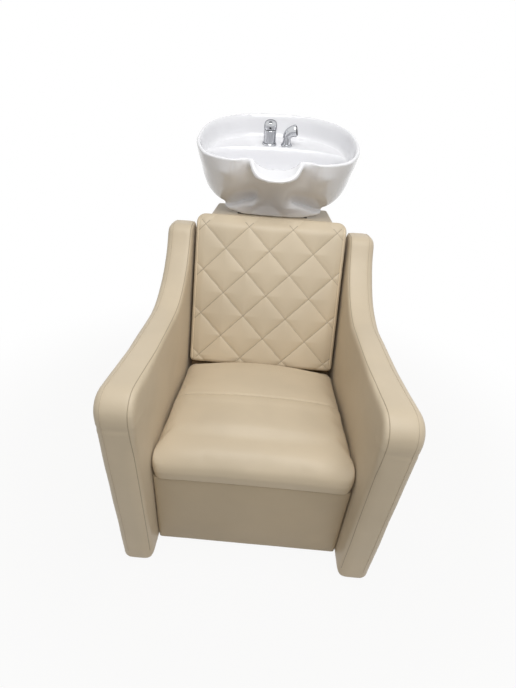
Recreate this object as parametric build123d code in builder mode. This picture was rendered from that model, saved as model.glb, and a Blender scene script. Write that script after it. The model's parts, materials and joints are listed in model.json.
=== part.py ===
from build123d import *
import os
from math import atan2, copysign, cos, degrees, pi, radians, sin, sqrt, tan

# A salon backwash chair: an upholstered armchair with a tilting ceramic shampoo basin behind its back.
# Millimetres, +Z up, the front faces -Y, X = 0 is the middle plane.
# The origin is the centre of the whole footprint, on the floor.

# Whole chair
seat_opening = 520
front_reach = 613
glide_height = 6
glide_diameter = 30
glide_stem_diameter = 8
glide_stem_length = 22
fit_gap = 0.3
overrun = 10

# Arms
arm_thickness = 84
arm_depth = 821
arm_height = 783
arm_pad = 12
arm_outer_round = 22
arm_inner_round = 5
arm_nose_round = 55
arm_dip_round_share = 0.731
arm_sweep_round_share = 0.353
arm_shoulder_round = 40
arm_rear_round = 26
arm_corner_shares = (
    (0.083, 0.0),
    (-0.012, 0.769),
    (0.297, 0.745),
    (0.763, 0.746),
    (0.887, 1.0),
    (1.0, 1.0),
    (1.0, 0.0),
)
arm_window_depth_share = 0.14
arm_window_height_share = 0.14
arm_window_round = 16
arm_window_pitch_share = 1.3
arm_window_centre_share = 0.4

# Seat cushion and what carries it
seat_under_back = 31.85
seat_rear_drop = 116.75
seat_slope = 5.15
seat_depth = 532
seat_side_gap = 1
seat_crease_share = 0.54
seat_heights = (87, 93, 97, 91, 84)
seat_crowns = (6, 15, 18, 12, 5)
seat_station_shares = (0.0, 0.27, 0.54, 0.77, 1.0)
seat_tuck = 5
seat_edge_round = 16
seat_nose_round = 26
crease_width = 5
crease_depth = 5
seat_board_thickness = 15
rail_width = 40
rail_height = 60
rear_rail_depth = 62
rear_rail_reach = 34

# Front panel under the seat
panel_clearance = 10
panel_lean = 5.4
panel_thickness = 26
panel_board_thickness = 15
panel_round = 8
panel_side_gap = 1

# Reclined back
recline = 17.7
back_foot_setback = 210
back_foot_height = 352
back_below = 9
back_above = 500
back_half_width = 252
back_depth = 75
back_crown = 13
back_end_crown = 4
back_tuck = 8
back_corner_round = 18
back_top_round = 27
back_heel_round = 12
back_station_shares = (0.0, 0.5, 1.0)
quilt_width = 146.5
quilt_height = 149
quilt_centre = 240
quilt_line = 6
quilt_line_depth = 3.5
quilt_rows = 3
quilt_margin = 14
back_board_thickness = 18
back_board_below = 110
back_board_inset = 16
back_board_side_gap = 4

# Upright panel that closes the chair behind the seat
rear_panel_thickness = 18

# Plumbing housing behind the chair
housing_half_width = 218
housing_depth = 252
housing_top = 808
housing_wall = 16
housing_round = 12
top_board_thickness = 18
bay_side_batten = 30
bay_floor_thickness = 15
door_width = 320
door_height = 440
door_base = 130
door_thickness = 12
door_lap = 14
door_round = 10
knuckle_diameter = 12
knuckle_length = 18
knuckle_gap = 0.5
door_pin_diameter = 5
door_hinge_share = 0.38
hinge_leaf_thickness = 2.5
hinge_leaf_width = 26
running_gap = 0.05
door_knob_diameter = 26
door_knob_neck = 12
door_knob_length = 22
catch_width = 40
catch_height = 18
catch_depth = 14

# Tilting basin: hinge, plates and lock
basin_tilt = 14
hinge_back = 75
hinge_rise = 16
plate_thickness = 4
plate_gap = 0.5
base_plate_half_width = 125
base_plate_front = 12
base_plate_rear = 166
tilt_plate_half_width = 110
tilt_plate_front = 14
tilt_plate_rear = 158
ear_thickness = 5
ear_gap = 1
base_ear_inner = 60
base_ear_radius = 10
tilt_ear_radius = 9
tilt_ear_tail = 17
hinge_pin_diameter = 8
hinge_pin_head = 13
hinge_pin_head_length = 3
plate_bolt_diameter = 8
plate_bolt_head = 13
plate_bolt_head_height = 5
plate_bolt_x = 72
plate_bolt_front = 36
plate_bolt_rear = 142
tilt_screw_diameter = 6
tilt_screw_head = 11
tilt_screw_depth = 13
tilt_screw_x = 92
tilt_screw_front = 40
tilt_screw_rear = 112
quadrant_x = 100
quadrant_thickness = 4
quadrant_radius = 135
quadrant_band = 24
quadrant_start = -52
quadrant_slot_width = 10.4
quadrant_slot_margin = 2
lock_angle = -31
lock_stud_diameter = 10
lock_nut_across = 17
lock_nut_height = 8
lock_bracket_thickness = 4
lock_bracket_width = 50
lock_washer_diameter = 22
lock_washer_thickness = 2
lock_bush_diameter = 18
lock_bush_flange = 26
lock_bush_flange_thickness = 3
lock_lever_length = 92
lock_lever_rest_angle = -20
lock_lever_hub = 24
lock_lever_standoff = 7
lock_lever_width = 14
lock_lever_thickness = 12
lock_grip_diameter = 22
lock_grip_length = 38
slot_side_gap = 3

# Ceramic basin, measured level from the hinge axis
rim_height = 203
rim_slope = 2.2
rim_round = 4
basin_wall = 14
basin_wide = 113
basin_floor = -7
basin_half_widths = (279, 273, 263)
basin_tray_heights = (203, 166, 131)
basin_tray_fronts = (-92, -84, -74)
basin_tray_rears = (389, 383, 368)
bowl_half_widths = (263, 250, 232, 207, 176)
bowl_heights = (131, 96, 56, 18, -7)
bowl_fronts = (-74, -68, -60, -49, -36)
bowl_rears = (232, 222, 206, 188, 170)
bowl_pinch = 26
front_exponent = 2.8
rear_exponent = 2.4
plan_quarter_steps = 4
deck_height = 146
cavity_heights = (147, 96, 50, 22, 10)
cavity_insets = (14, 15, 17, 26, 44)
cavity_fronts = (-60, -50, -10, 28, 48)
neck_radius = 123
neck_slope = 5.2
neck_low = 162
neck_cusp = -74
neck_reach = 73
neck_half_width = 103
pedestal_heights = (-7, 8, 30, 80, 146)
pedestal_half_widths = (166, 128, 92, 62, 76)
pedestal_half_depths = (34, 31, 30, 32, 36)
pedestal_centres = (-2, -8, -20, -40, -78)
hinge_pocket_half_width = 72
hinge_pocket_depth = 17
hinge_pocket_height = 13
bolt_hole_clearance = 1

# Waste fitting
drain_back = 78
drain_hole = 46
drain_flange_diameter = 66
drain_flange_thickness = 3
drain_shank_diameter = 42
drain_spigot_diameter = 40
drain_spigot_length = 44
drain_bore = 34
drain_length = 74
drain_gasket_diameter = 62
drain_gasket_thickness = 3
drain_nut_across = 56
drain_nut_height = 10
strainer_diameter = 33
strainer_depth = 12
strainer_top_thickness = 2
strainer_cap_diameter = 42
strainer_wall = 1.5
strainer_hole = 4
strainer_ring_radii = (6, 12)
strainer_ring_counts = (6, 11)
drain_slot_front = 40
drain_slot_rear = 138
drain_slot_half_width = 38

# Mixer on the basin's rear ledge
tap_back = 257
mixer_x = -32
mixer_ring_diameter = 53
mixer_ring_height = 6
mixer_body_diameter = 44
mixer_body_height = 46
mixer_waist_diameter = 40
mixer_bevel = 1.5
turret_disc_height = 3
ball_radius = 16
cap_ball_gap = 0.6
cap_lift_gap = 1
cap_radius = 21
cap_height = 34
mixer_lever_width = 30
mixer_lever_reach = 34
mixer_lever_thickness = 9
mixer_lever_rise = 14
index_plug_diameter = 9
index_plug_depth = 2
shank_diameter = 32
shank_length = 46
shank_bore = 22
tap_washer_diameter = 46
tap_washer_thickness = 3
tap_nut_across = 41
tap_nut_height = 9
inlet_tube_diameter = 9
inlet_tube_bore = 6
inlet_tube_length = 86
inlet_tube_spread = 6
inlet_end_diameter = 10
inlet_end_length = 36

# Pull-out shower beside the mixer
shower_x = 33
shower_ring_diameter = 41
shower_ring_height = 5
shower_sleeve_diameter = 32
shower_sleeve_top = 25
shower_sleeve_height = 22
shower_bore = 19
shower_shank_diameter = 26
shower_shank_length = 40
shower_nut_across = 36
handset_stem_diameter = 18
handset_stem_length = 44
handset_collar_diameter = 24
handset_collar_height = 4
handset_neck_radius = 24
handset_neck_angle = 78
handset_neck_diameter = 23
handset_head_diameter = 39
handset_head_depth = 15
handset_face_diameter = 32
handset_face_thickness = 2
handset_jet = 2
handset_jet_radii = (5, 11)
handset_jet_counts = (6, 12)

# Places worked out from the sizes above
arm_inner = seat_opening / 2
arm_rear = arm_depth - front_reach
seat_half_width = arm_inner - seat_side_gap
back_foot_y = arm_rear - back_foot_setback
seat_front_y = back_foot_y + seat_under_back - seat_depth * cos(radians(seat_slope))
seat_front_height = back_foot_height - seat_rear_drop + seat_depth * sin(radians(seat_slope))
housing_rear = arm_rear + housing_depth
hinge_y = arm_rear + hinge_back
hinge_z = housing_top + hinge_rise
lean = radians(recline)
tilt = radians(basin_tilt)

seat_plane = Plane(
    origin=(0, seat_front_y, seat_front_height),
    x_dir=(1, 0, 0),
    z_dir=(0, sin(radians(seat_slope)), cos(radians(seat_slope))),
)
back_plane = Plane(
    origin=(0, back_foot_y, back_foot_height),
    x_dir=(1, 0, 0),
    z_dir=(0, -cos(lean), sin(lean)),
)
basin_plane = Plane(origin=(0, hinge_y, hinge_z), x_dir=(1, 0, 0), z_dir=(0, -sin(tilt), cos(tilt)))


def save(builder, name):
    """Label a finished piece and write it to its own file."""
    builder.part.label = name
    export_step(builder.part, f"parts/{name}.step")


def across(plane, depth, height=0):
    """A plane square to a working plane's depth, with X to the right and the working plane's normal up."""
    return Plane(origin=plane.from_local_coords((0, depth, height)), x_dir=(1, 0, 0), z_dir=-plane.y_dir)


def sideways(plane, x):
    """A plane square to X, with the working plane's depth to the right and its normal up."""
    return Plane(origin=plane.from_local_coords((x, 0, 0)), x_dir=plane.y_dir, z_dir=(1, 0, 0))


def standing(x, y, z=0):
    """A side-view plane at one X: depth to the right, height up."""
    return Plane(origin=(x, y, z), x_dir=(0, 1, 0), z_dir=(1, 0, 0))


os.makedirs("parts", exist_ok=True)


# Arms: a wooden frame inside a padded cover that is open under the foot
def arm_profile(drop):
    """Side view of an arm, its lower edge let down by a drop."""
    corners = []
    for depth_share, height_share in arm_corner_shares:
        low = drop if height_share == 0 else 0
        depth = arm_depth * depth_share - front_reach
        corners.append((depth, glide_height + arm_height * height_share - low))
    radii = [
        arm_nose_round,
        arm_depth * arm_dip_round_share,
        arm_depth * arm_sweep_round_share,
        arm_shoulder_round,
        arm_rear_round,
    ]
    with BuildSketch() as profile:
        with BuildLine():
            upper = FilletPolyline(*corners, radius=radii)
            Line(upper @ 1, upper @ 0)
        make_face()
    return profile.sketch


def arm_glide_places():
    """Floor glides under one arm: near the toe and near the heel."""
    toe = arm_depth * arm_corner_shares[0][0] - front_reach + glide_diameter
    heel = arm_rear - glide_diameter
    return toe, heel


def make_arm(side, name):
    """One arm, on the left for side -1 and on the right for side 1."""
    inner_x = side * arm_inner
    outward = side
    with BuildPart() as arm_frame:
        start = inner_x + outward * (arm_pad + fit_gap)
        with BuildSketch(standing(start, 0)):
            add(arm_profile(arm_pad))
            offset(amount=-(arm_pad + fit_gap))
            with Locations((arm_rear - arm_depth / 2, -arm_pad)):
                Rectangle(arm_depth, 2 * (glide_height + arm_pad), mode=Mode.SUBTRACT)
        extrude(amount=outward * (arm_thickness - 2 * (arm_pad + fit_gap)))
        window_depth = arm_depth * arm_window_depth_share
        window_height = arm_height * arm_window_height_share
        with BuildSketch(standing(start, arm_rear - arm_depth / 2, arm_height * arm_window_centre_share)):
            with GridLocations(
                window_depth * arm_window_pitch_share, window_height * arm_window_pitch_share, 4, 3
            ):
                RectangleRounded(window_depth, window_height, arm_window_round)
        extrude(amount=outward * arm_thickness, mode=Mode.SUBTRACT)
        with BuildSketch(Plane.XY.offset(glide_height)):
            with Locations(*[(side * (arm_inner + arm_thickness / 2), y) for y in arm_glide_places()]):
                Circle(glide_stem_diameter / 2 + fit_gap)
        extrude(amount=glide_stem_length + fit_gap, mode=Mode.SUBTRACT)
    save(arm_frame, f"{name}_arm_frame")

    with BuildPart() as arm_cover:
        with BuildSketch(standing(inner_x, 0)):
            add(arm_profile(0))
        extrude(amount=outward * arm_thickness)
        for toward, rounding in ((side, arm_outer_round), (-side, arm_inner_round)):
            cheek = arm_cover.faces().sort_by(Axis.X)[-1 if toward > 0 else 0]
            fillet(cheek.edges().sort_by(Axis.Z)[1:], radius=rounding)
        with BuildSketch(standing(inner_x + outward * arm_pad, 0)):
            add(arm_profile(arm_pad))
            offset(amount=-arm_pad)
        extrude(amount=outward * (arm_thickness - 2 * arm_pad), mode=Mode.SUBTRACT)
    save(arm_cover, f"{name}_arm_cover")


make_arm(-1, "left")
make_arm(1, "right")

# Floor glides under the arms and the housing
with BuildPart() as floor_glides:
    arm_places = [(side * (arm_inner + arm_thickness / 2), y) for side in (-1, 1) for y in arm_glide_places()]
    housing_glide_x = housing_half_width - housing_wall - glide_diameter / 2 - bay_side_batten / 2
    housing_places = [
        (side * housing_glide_x, y)
        for side in (-1, 1)
        for y in (arm_rear + glide_diameter, housing_rear - housing_wall - glide_diameter)
    ]
    with BuildSketch():
        with Locations(*arm_places, *housing_places):
            Circle(glide_diameter / 2)
    extrude(amount=glide_height)
    chamfer(floor_glides.edges().group_by(Axis.Z)[0], length=glide_height / 4)
    with BuildSketch(Plane.XY.offset(glide_height)):
        with Locations(*arm_places, *housing_places):
            Circle(glide_stem_diameter / 2)
    extrude(amount=glide_stem_length)
save(floor_glides, "floor_glides")


# Soft seat: crowned, with drawn-in sides, a sewn crease and a rounded nose
def cushion_section(half_width, height, crown, tuck, edge_round):
    """Cross-section of a cushion: flat below, bowed at the sides and crowned on top."""
    with BuildSketch() as section:
        with BuildLine():
            base = Line((tuck - half_width, 0), (half_width - tuck, 0))
            right = ThreePointArc(base @ 1, (half_width, height / 2), (half_width - tuck, height))
            top = ThreePointArc(right @ 1, (0, height + crown), (tuck - half_width, height))
            ThreePointArc(top @ 1, (-half_width, height / 2), base @ 0)
        make_face()
        fillet(section.vertices().group_by(Axis.Y)[-1], radius=edge_round)
    return section.sketch


crease_station = seat_station_shares.index(seat_crease_share)
with BuildPart() as seat_cushion:
    for stations in (range(crease_station + 1), range(crease_station, len(seat_heights))):
        for station in stations:
            depth = seat_depth * seat_station_shares[station]
            with BuildSketch(across(seat_plane, depth)):
                height = seat_heights[station]
                crown = seat_crowns[station]
                add(cushion_section(seat_half_width, height, crown, seat_tuck, seat_edge_round))
        loft()
    nose = seat_cushion.faces().sort_by(Axis.Y)[0]
    fillet(nose.edges().sort_by(Axis.Z)[-1], radius=seat_nose_round)
    crease_depth_place = seat_depth * seat_crease_share
    with BuildSketch(across(seat_plane, crease_depth_place - crease_width / 2)):
        add(
            cushion_section(
                seat_half_width + overrun,
                seat_heights[crease_station] + overrun,
                seat_crowns[crease_station],
                seat_tuck,
                seat_edge_round,
            )
        )
        add(
            cushion_section(
                seat_half_width - crease_depth,
                seat_heights[crease_station] - crease_depth,
                seat_crowns[crease_station],
                seat_tuck,
                seat_edge_round,
            ),
            mode=Mode.SUBTRACT,
        )
        Rectangle(2 * (seat_half_width + overrun), 2 * crease_depth, mode=Mode.SUBTRACT)
    extrude(amount=-crease_width, mode=Mode.SUBTRACT)
save(seat_cushion, "seat_cushion")

# Wooden seat base, front panel and lower rails
panel_lean_plane = Plane(
    origin=(0, seat_front_y, seat_front_height),
    x_dir=(1, 0, 0),
    z_dir=(0, -cos(radians(panel_lean)), -sin(radians(panel_lean))),
)
panel_drop = (seat_front_height - panel_clearance) / cos(radians(panel_lean))
board_back = panel_thickness + panel_board_thickness


def lean_slab(width, drop, front, thickness):
    """A slab behind the front panel's face, its top cut to the underside of the seat."""
    with BuildPart() as slab:
        with BuildSketch(panel_lean_plane.offset(-front)):
            with Locations((0, (overrun - drop) / 2)):
                Rectangle(width, drop + overrun)
        extrude(amount=-thickness)
    return slab.part


with BuildPart() as front_panel:
    add(lean_slab(seat_opening - 2 * panel_side_gap, panel_drop, 0, panel_thickness))
    split(bisect_by=seat_plane.offset(-fit_gap), keep=Keep.BOTTOM)
    face_rim = front_panel.faces().sort_by(Axis.Y)[0]
    fillet(face_rim.edges(), radius=panel_round)
save(front_panel, "front_panel")

with BuildPart() as front_panel_board:
    add(lean_slab(seat_opening, panel_drop, panel_thickness, panel_board_thickness))
    split(bisect_by=seat_plane.offset(-fit_gap), keep=Keep.BOTTOM)
save(front_panel_board, "front_panel_board")

with BuildPart() as front_rail:
    add(lean_slab(seat_opening, seat_board_thickness + rail_height, board_back, rail_width))
    split(bisect_by=seat_plane.offset(-seat_board_thickness), keep=Keep.BOTTOM)
save(front_rail, "front_rail")

lean_and_slope = radians(panel_lean + seat_slope)
seat_board_front = board_back / cos(lean_and_slope) + seat_board_thickness * tan(lean_and_slope) + fit_gap
with BuildPart() as seat_board:
    with BuildSketch(seat_plane):
        with Locations((0, (seat_board_front + seat_depth) / 2)):
            Rectangle(seat_opening, seat_depth - seat_board_front)
    extrude(amount=-seat_board_thickness)
save(seat_board, "seat_board")

with BuildPart() as rear_rail:
    with BuildSketch(seat_plane.offset(-seat_board_thickness)):
        with Locations((0, seat_depth + rear_rail_reach - rear_rail_depth / 2)):
            Rectangle(seat_opening, rear_rail_depth)
    extrude(amount=-rail_height)
save(rear_rail, "rear_rail")

panel_foot_y = seat_front_y + panel_drop * sin(radians(panel_lean))
base_front_y = panel_foot_y + board_back / cos(radians(panel_lean)) + fit_gap
with BuildPart() as base_cross_rail:
    with BuildSketch(Plane.XY.offset(panel_clearance)):
        with Locations((0, base_front_y + rail_width / 2)):
            Rectangle(seat_opening, rail_width)
    extrude(amount=rail_height)
save(base_cross_rail, "base_cross_rail")

base_rail_front = base_front_y + rail_width
base_rail_rear = housing_rear - housing_wall
base_rail_middle = (base_rail_front + base_rail_rear) / 2
with BuildPart() as base_rails:
    with BuildSketch(Plane.XY.offset(glide_height)):
        with Locations((-housing_glide_x, base_rail_middle), (housing_glide_x, base_rail_middle)):
            Rectangle(rail_width, base_rail_rear - base_rail_front)
    extrude(amount=rail_height)
    with BuildSketch(Plane.XY.offset(glide_height)):
        with Locations(*housing_places):
            Circle(glide_stem_diameter / 2 + fit_gap)
    extrude(amount=glide_stem_length + fit_gap, mode=Mode.SUBTRACT)
save(base_rails, "base_rails")


# Reclined back: crowned pad with a stitched diamond pattern, on a plywood board
back_length = back_below + back_above
with BuildPart() as back_pad:
    for share in back_station_shares:
        crown = back_end_crown if share in (0, 1) else back_crown
        with BuildSketch(across(back_plane, back_length * share - back_below, -back_depth)):
            add(cushion_section(back_half_width, back_depth, crown, back_tuck, back_corner_round))
    loft()
    head = back_pad.faces().sort_by(Axis.Z)[-1]
    head_rim = head.edges().sort_by(Axis.Y)
    fillet(head_rim[0], radius=back_top_round)
    foot = back_pad.faces().sort_by(Axis.Z)[0]
    fillet(foot.edges().sort_by(Axis.Y)[0], radius=back_heel_round)

quilt_slope = atan2(quilt_height, quilt_width)
with BuildPart() as quilt_lines:
    with BuildSketch(back_plane.offset(-back_depth / 4)):
        for row in range(-quilt_rows, quilt_rows + 1):
            with Locations((0, quilt_centre + row * quilt_height)):
                for turn in (-1, 1):
                    Rectangle(back_length * 2, quilt_line, rotation=turn * degrees(quilt_slope))
        with Locations((0, back_above / 2)):
            Rectangle(
                2 * (back_half_width - quilt_margin),
                back_above - quilt_margin,
                mode=Mode.INTERSECT,
            )
    extrude(amount=back_depth)
    add(back_pad.part.moved(Location(back_plane.z_dir * -quilt_line_depth)), mode=Mode.SUBTRACT)

with BuildPart() as back_cushion:
    add(back_pad.part)
    add(quilt_lines.part, mode=Mode.SUBTRACT)
save(back_cushion, "back_cushion")

with BuildPart() as back_board:
    with BuildSketch(back_plane.offset(-back_depth)):
        with Locations((0, (back_above - back_board_inset - back_board_below) / 2)):
            RectangleRounded(
                seat_opening - 2 * back_board_side_gap,
                back_above - back_board_inset + back_board_below,
                back_corner_round,
            )
    extrude(amount=-back_board_thickness)
save(back_board, "back_board")

board_rear_plane = back_plane.offset(-(back_depth + back_board_thickness + fit_gap))
with BuildPart() as rear_panel:
    with BuildSketch(Plane.XY.offset(glide_height + rail_height + fit_gap)):
        with Locations((0, arm_rear - rear_panel_thickness / 2)):
            Rectangle(seat_opening, rear_panel_thickness)
    extrude(amount=arm_height - rail_height)
    split(bisect_by=board_rear_plane, keep=Keep.BOTTOM)
save(rear_panel, "rear_panel")

# Plumbing housing behind the chair, with a stiff top, a floor and a rear door
lock_y = hinge_y + quadrant_radius * cos(radians(lock_angle))
lock_z = hinge_z + quadrant_radius * sin(radians(lock_angle))
plate_bolt_places = [
    (side * plate_bolt_x, depth) for side in (-1, 1) for depth in (plate_bolt_front, plate_bolt_rear)
]
tilt_screw_places = [
    (side * tilt_screw_x, depth) for side in (-1, 1) for depth in (tilt_screw_front, tilt_screw_rear)
]


def service_slots():
    """Openings over the hinge for the waste tail and the tilt quadrant, seen from above."""
    inner = quadrant_radius - quadrant_band / 2
    outer = quadrant_radius + quadrant_band / 2
    deepest = hinge_rise + housing_wall + top_board_thickness
    slot_front = sqrt(inner**2 - deepest**2) - 2 * slot_side_gap
    slot_rear = outer + 2 * slot_side_gap
    with BuildSketch() as slots:
        with Locations((0, (drain_slot_front + drain_slot_rear) / 2)):
            RectangleRounded(
                2 * drain_slot_half_width, drain_slot_rear - drain_slot_front, drain_slot_half_width / 2
            )
        with Locations((quadrant_x + quadrant_thickness / 2, (slot_front + slot_rear) / 2)):
            Rectangle(quadrant_thickness + 2 * slot_side_gap, slot_rear - slot_front)
    return slots.sketch


def above_hinge(height):
    """A level plane with its origin over the hinge."""
    return Plane(origin=(0, hinge_y, height))


housing_centre = (arm_rear + housing_rear) / 2
bay_rear = housing_rear - housing_wall
door_centre_z = door_base + door_height / 2
with BuildPart() as housing_shell:
    with BuildSketch(Plane.XY.offset(glide_height)):
        with Locations((0, housing_centre)):
            Rectangle(2 * housing_half_width, housing_depth)
    extrude(amount=housing_top - glide_height)
    uprights = housing_shell.edges().filter_by(Axis.Z).group_by(Axis.Y)[-1]
    top_rim = housing_shell.faces().sort_by(Axis.Z)[-1].edges().sort_by(Axis.Y)[1:]
    fillet(uprights + top_rim, radius=housing_round)
    with BuildSketch(Plane.XY):
        with Locations((0, (arm_rear - overrun + bay_rear) / 2)):
            Rectangle(2 * (housing_half_width - housing_wall), bay_rear - arm_rear + overrun)
    extrude(amount=housing_top - housing_wall, mode=Mode.SUBTRACT)
    split(bisect_by=board_rear_plane, keep=Keep.BOTTOM)
    with BuildSketch(Plane.XZ.offset(-bay_rear + overrun)):
        with Locations((0, door_centre_z)):
            Rectangle(door_width - 2 * door_lap, door_height - 2 * door_lap)
    extrude(amount=-(housing_wall + 2 * overrun), mode=Mode.SUBTRACT)
    with BuildSketch(above_hinge(housing_top - housing_wall)):
        add(service_slots())
        with Locations(*plate_bolt_places):
            Circle(plate_bolt_diameter / 2 + fit_gap)
    extrude(amount=housing_wall + overrun, mode=Mode.SUBTRACT)
    with BuildSketch(standing(housing_half_width - housing_wall - overrun, 0)):
        with Locations((lock_y, lock_z)):
            Circle(lock_bush_diameter / 2)
    extrude(amount=housing_wall + 2 * overrun, mode=Mode.SUBTRACT)
save(housing_shell, "housing_shell")

top_board_base = housing_top - housing_wall - top_board_thickness
with BuildPart() as top_board:
    with BuildSketch(Plane.XY.offset(top_board_base)):
        with Locations((0, (arm_rear + bay_rear) / 2)):
            Rectangle(2 * (housing_half_width - housing_wall), bay_rear - arm_rear)
    extrude(amount=top_board_thickness)
    split(bisect_by=board_rear_plane, keep=Keep.BOTTOM)
    with BuildSketch(above_hinge(top_board_base)):
        add(service_slots())
        with Locations(*plate_bolt_places):
            Circle(plate_bolt_diameter / 2 + fit_gap)
    extrude(amount=top_board_thickness, mode=Mode.SUBTRACT)
save(top_board, "top_board")

with BuildPart() as bay_floor:
    with BuildSketch(Plane.XY.offset(glide_height + rail_height)):
        with Locations((0, (arm_rear + bay_rear) / 2)):
            Rectangle(2 * (housing_half_width - housing_wall), bay_rear - arm_rear)
    extrude(amount=bay_floor_thickness)
save(bay_floor, "bay_floor")

door_front = housing_rear + knuckle_gap
door_hinge_x = -(door_width + knuckle_diameter) / 2
door_hinge_y = door_front + hinge_leaf_thickness + knuckle_diameter / 2
hinge_heights = [door_centre_z + side * door_height * door_hinge_share for side in (-1, 1)]
with BuildPart() as access_door:
    with BuildSketch(Plane.XZ.offset(-door_front)):
        with Locations((0, door_centre_z)):
            RectangleRounded(door_width, door_height, door_round)
    extrude(amount=-door_thickness)
    fillet(access_door.faces().sort_by(Axis.Y)[-1].edges(), radius=door_thickness / 4)
save(access_door, "access_door")

knob_x = door_width / 2 - 2 * door_lap
knob_plane = Plane(
    origin=(knob_x, door_front + door_thickness, door_centre_z),
    x_dir=(1, 0, 0),
    z_dir=(0, 0, 1),
)
with BuildPart() as door_knob:
    with BuildSketch(knob_plane):
        with BuildLine():
            Polyline(
                (0, 0),
                (door_knob_neck / 2, 0),
                (door_knob_neck / 2, door_knob_length / 3),
                (door_knob_diameter / 2, door_knob_length / 2),
                (door_knob_diameter / 2, door_knob_length * 0.8),
                (door_knob_diameter / 3, door_knob_length),
                (0, door_knob_length),
                (0, 0),
            )
        make_face()
    revolve(axis=Axis((knob_x, door_front, door_centre_z), (0, 1, 0)))
save(door_knob, "door_knob")

leaf_front = door_front + door_thickness
with BuildPart() as door_leaves:
    for height in hinge_heights:
        with BuildSketch(Plane.XY.offset(height - knuckle_length / 2 + knuckle_gap)):
            with Locations((door_hinge_x, door_hinge_y)):
                Circle(knuckle_diameter / 2)
            with Locations((door_hinge_x + hinge_leaf_width / 2, leaf_front + hinge_leaf_thickness / 2)):
                Rectangle(hinge_leaf_width, hinge_leaf_thickness)
            with Locations((door_hinge_x, door_hinge_y)):
                Circle(door_pin_diameter / 2 + running_gap, mode=Mode.SUBTRACT)
        extrude(amount=knuckle_length - 2 * knuckle_gap)
save(door_leaves, "door_leaves")

with BuildPart() as housing_leaves:
    for height in hinge_heights:
        for side in (-1, 1):
            with BuildSketch(Plane.XY.offset(height + side * knuckle_length)):
                with Locations((door_hinge_x, door_hinge_y)):
                    Circle(knuckle_diameter / 2)
                with Locations((door_hinge_x - knuckle_diameter / 2, (housing_rear + door_hinge_y) / 2)):
                    Rectangle(knuckle_diameter, door_hinge_y - housing_rear)
                with Locations((door_hinge_x, door_hinge_y)):
                    Circle(door_pin_diameter / 2 + running_gap, mode=Mode.SUBTRACT)
            extrude(amount=knuckle_length / 2, both=True)
        with BuildSketch(Plane.XY.offset(height)):
            with Locations(
                (
                    door_hinge_x - knuckle_diameter / 2 - knuckle_gap - hinge_leaf_width / 2,
                    housing_rear + hinge_leaf_thickness / 2,
                )
            ):
                Rectangle(hinge_leaf_width, hinge_leaf_thickness)
        extrude(amount=knuckle_length * 1.5, both=True)
save(housing_leaves, "housing_leaves")

with BuildPart() as door_pins:
    for height in hinge_heights:
        with BuildSketch(Plane.XY.offset(height)):
            with Locations((door_hinge_x, door_hinge_y)):
                Circle(door_pin_diameter / 2)
        extrude(amount=knuckle_length * 1.5, both=True)
        with BuildSketch(Plane.XY.offset(height + knuckle_length * 1.5)):
            with Locations((door_hinge_x, door_hinge_y)):
                Circle(knuckle_diameter * 0.4)
        extrude(amount=hinge_leaf_thickness)
save(door_pins, "door_pins")

with BuildPart() as door_catch:
    with BuildSketch(Plane.XZ.offset(-(housing_rear - catch_depth))):
        with Locations((door_width / 2 - door_lap - catch_width / 2, door_centre_z)):
            RectangleRounded(catch_width, catch_height, catch_height / 6)
    extrude(amount=-catch_depth)
save(door_catch, "door_catch")


# Tilt hinge: a base plate on the housing, a tilt plate under the basin, and one long pin
plate_top = housing_top + plate_thickness
tilt_plate_low = -(hinge_rise - plate_thickness - plate_gap)
base_ear_x = [side * (base_ear_inner + ear_thickness / 2) for side in (-1, 1)]
tilt_ear_x = [side * (base_ear_inner - ear_gap - ear_thickness / 2) for side in (-1, 1)]
with BuildPart() as tilt_base_plate:
    with BuildSketch(above_hinge(housing_top)):
        with Locations((0, (base_plate_rear - base_plate_front) / 2)):
            RectangleRounded(
                2 * base_plate_half_width, base_plate_rear + base_plate_front, base_plate_front / 2
            )
        add(service_slots(), mode=Mode.SUBTRACT)
        with Locations(*plate_bolt_places):
            Circle(plate_bolt_diameter / 2 + fit_gap, mode=Mode.SUBTRACT)
    extrude(amount=plate_thickness)
    for x in base_ear_x:
        with BuildSketch(standing(x, hinge_y, hinge_z)):
            Circle(base_ear_radius)
            with Locations((0, -(hinge_rise - plate_thickness) / 2)):
                Rectangle(2 * base_ear_radius, hinge_rise - plate_thickness)
            Circle(hinge_pin_diameter / 2 + running_gap, mode=Mode.SUBTRACT)
        extrude(amount=ear_thickness / 2, both=True)
save(tilt_base_plate, "tilt_base_plate")

with BuildPart() as tilt_plate:
    with BuildSketch(basin_plane.offset(tilt_plate_low)):
        with Locations((0, (tilt_plate_front + tilt_plate_rear) / 2)):
            RectangleRounded(
                2 * tilt_plate_half_width, tilt_plate_rear - tilt_plate_front, base_plate_front / 2
            )
        with Locations((0, drain_back)):
            Circle(drain_nut_across / 2 + 2 * slot_side_gap, mode=Mode.SUBTRACT)
    extrude(amount=plate_thickness)
    with Locations(basin_plane.offset(tilt_plate_low)):
        with Locations(*[Location((x, depth, 0), (180, 0, 0)) for x, depth in tilt_screw_places]):
            CounterSinkHole(
                radius=tilt_screw_diameter / 2 + fit_gap,
                counter_sink_radius=tilt_screw_head / 2 + fit_gap,
                depth=plate_thickness,
            )
    for x in tilt_ear_x:
        with BuildSketch(sideways(basin_plane, x)):
            Circle(tilt_ear_radius)
            with BuildLine():
                Polyline(
                    (0, tilt_ear_radius),
                    (tilt_ear_tail, tilt_plate_low + plate_thickness),
                    (tilt_ear_tail, tilt_plate_low),
                    (0, -tilt_ear_radius),
                    (0, tilt_ear_radius),
                )
            make_face()
            Circle(hinge_pin_diameter / 2 + running_gap, mode=Mode.SUBTRACT)
        extrude(amount=ear_thickness / 2, both=True)
save(tilt_plate, "tilt_plate")

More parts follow.
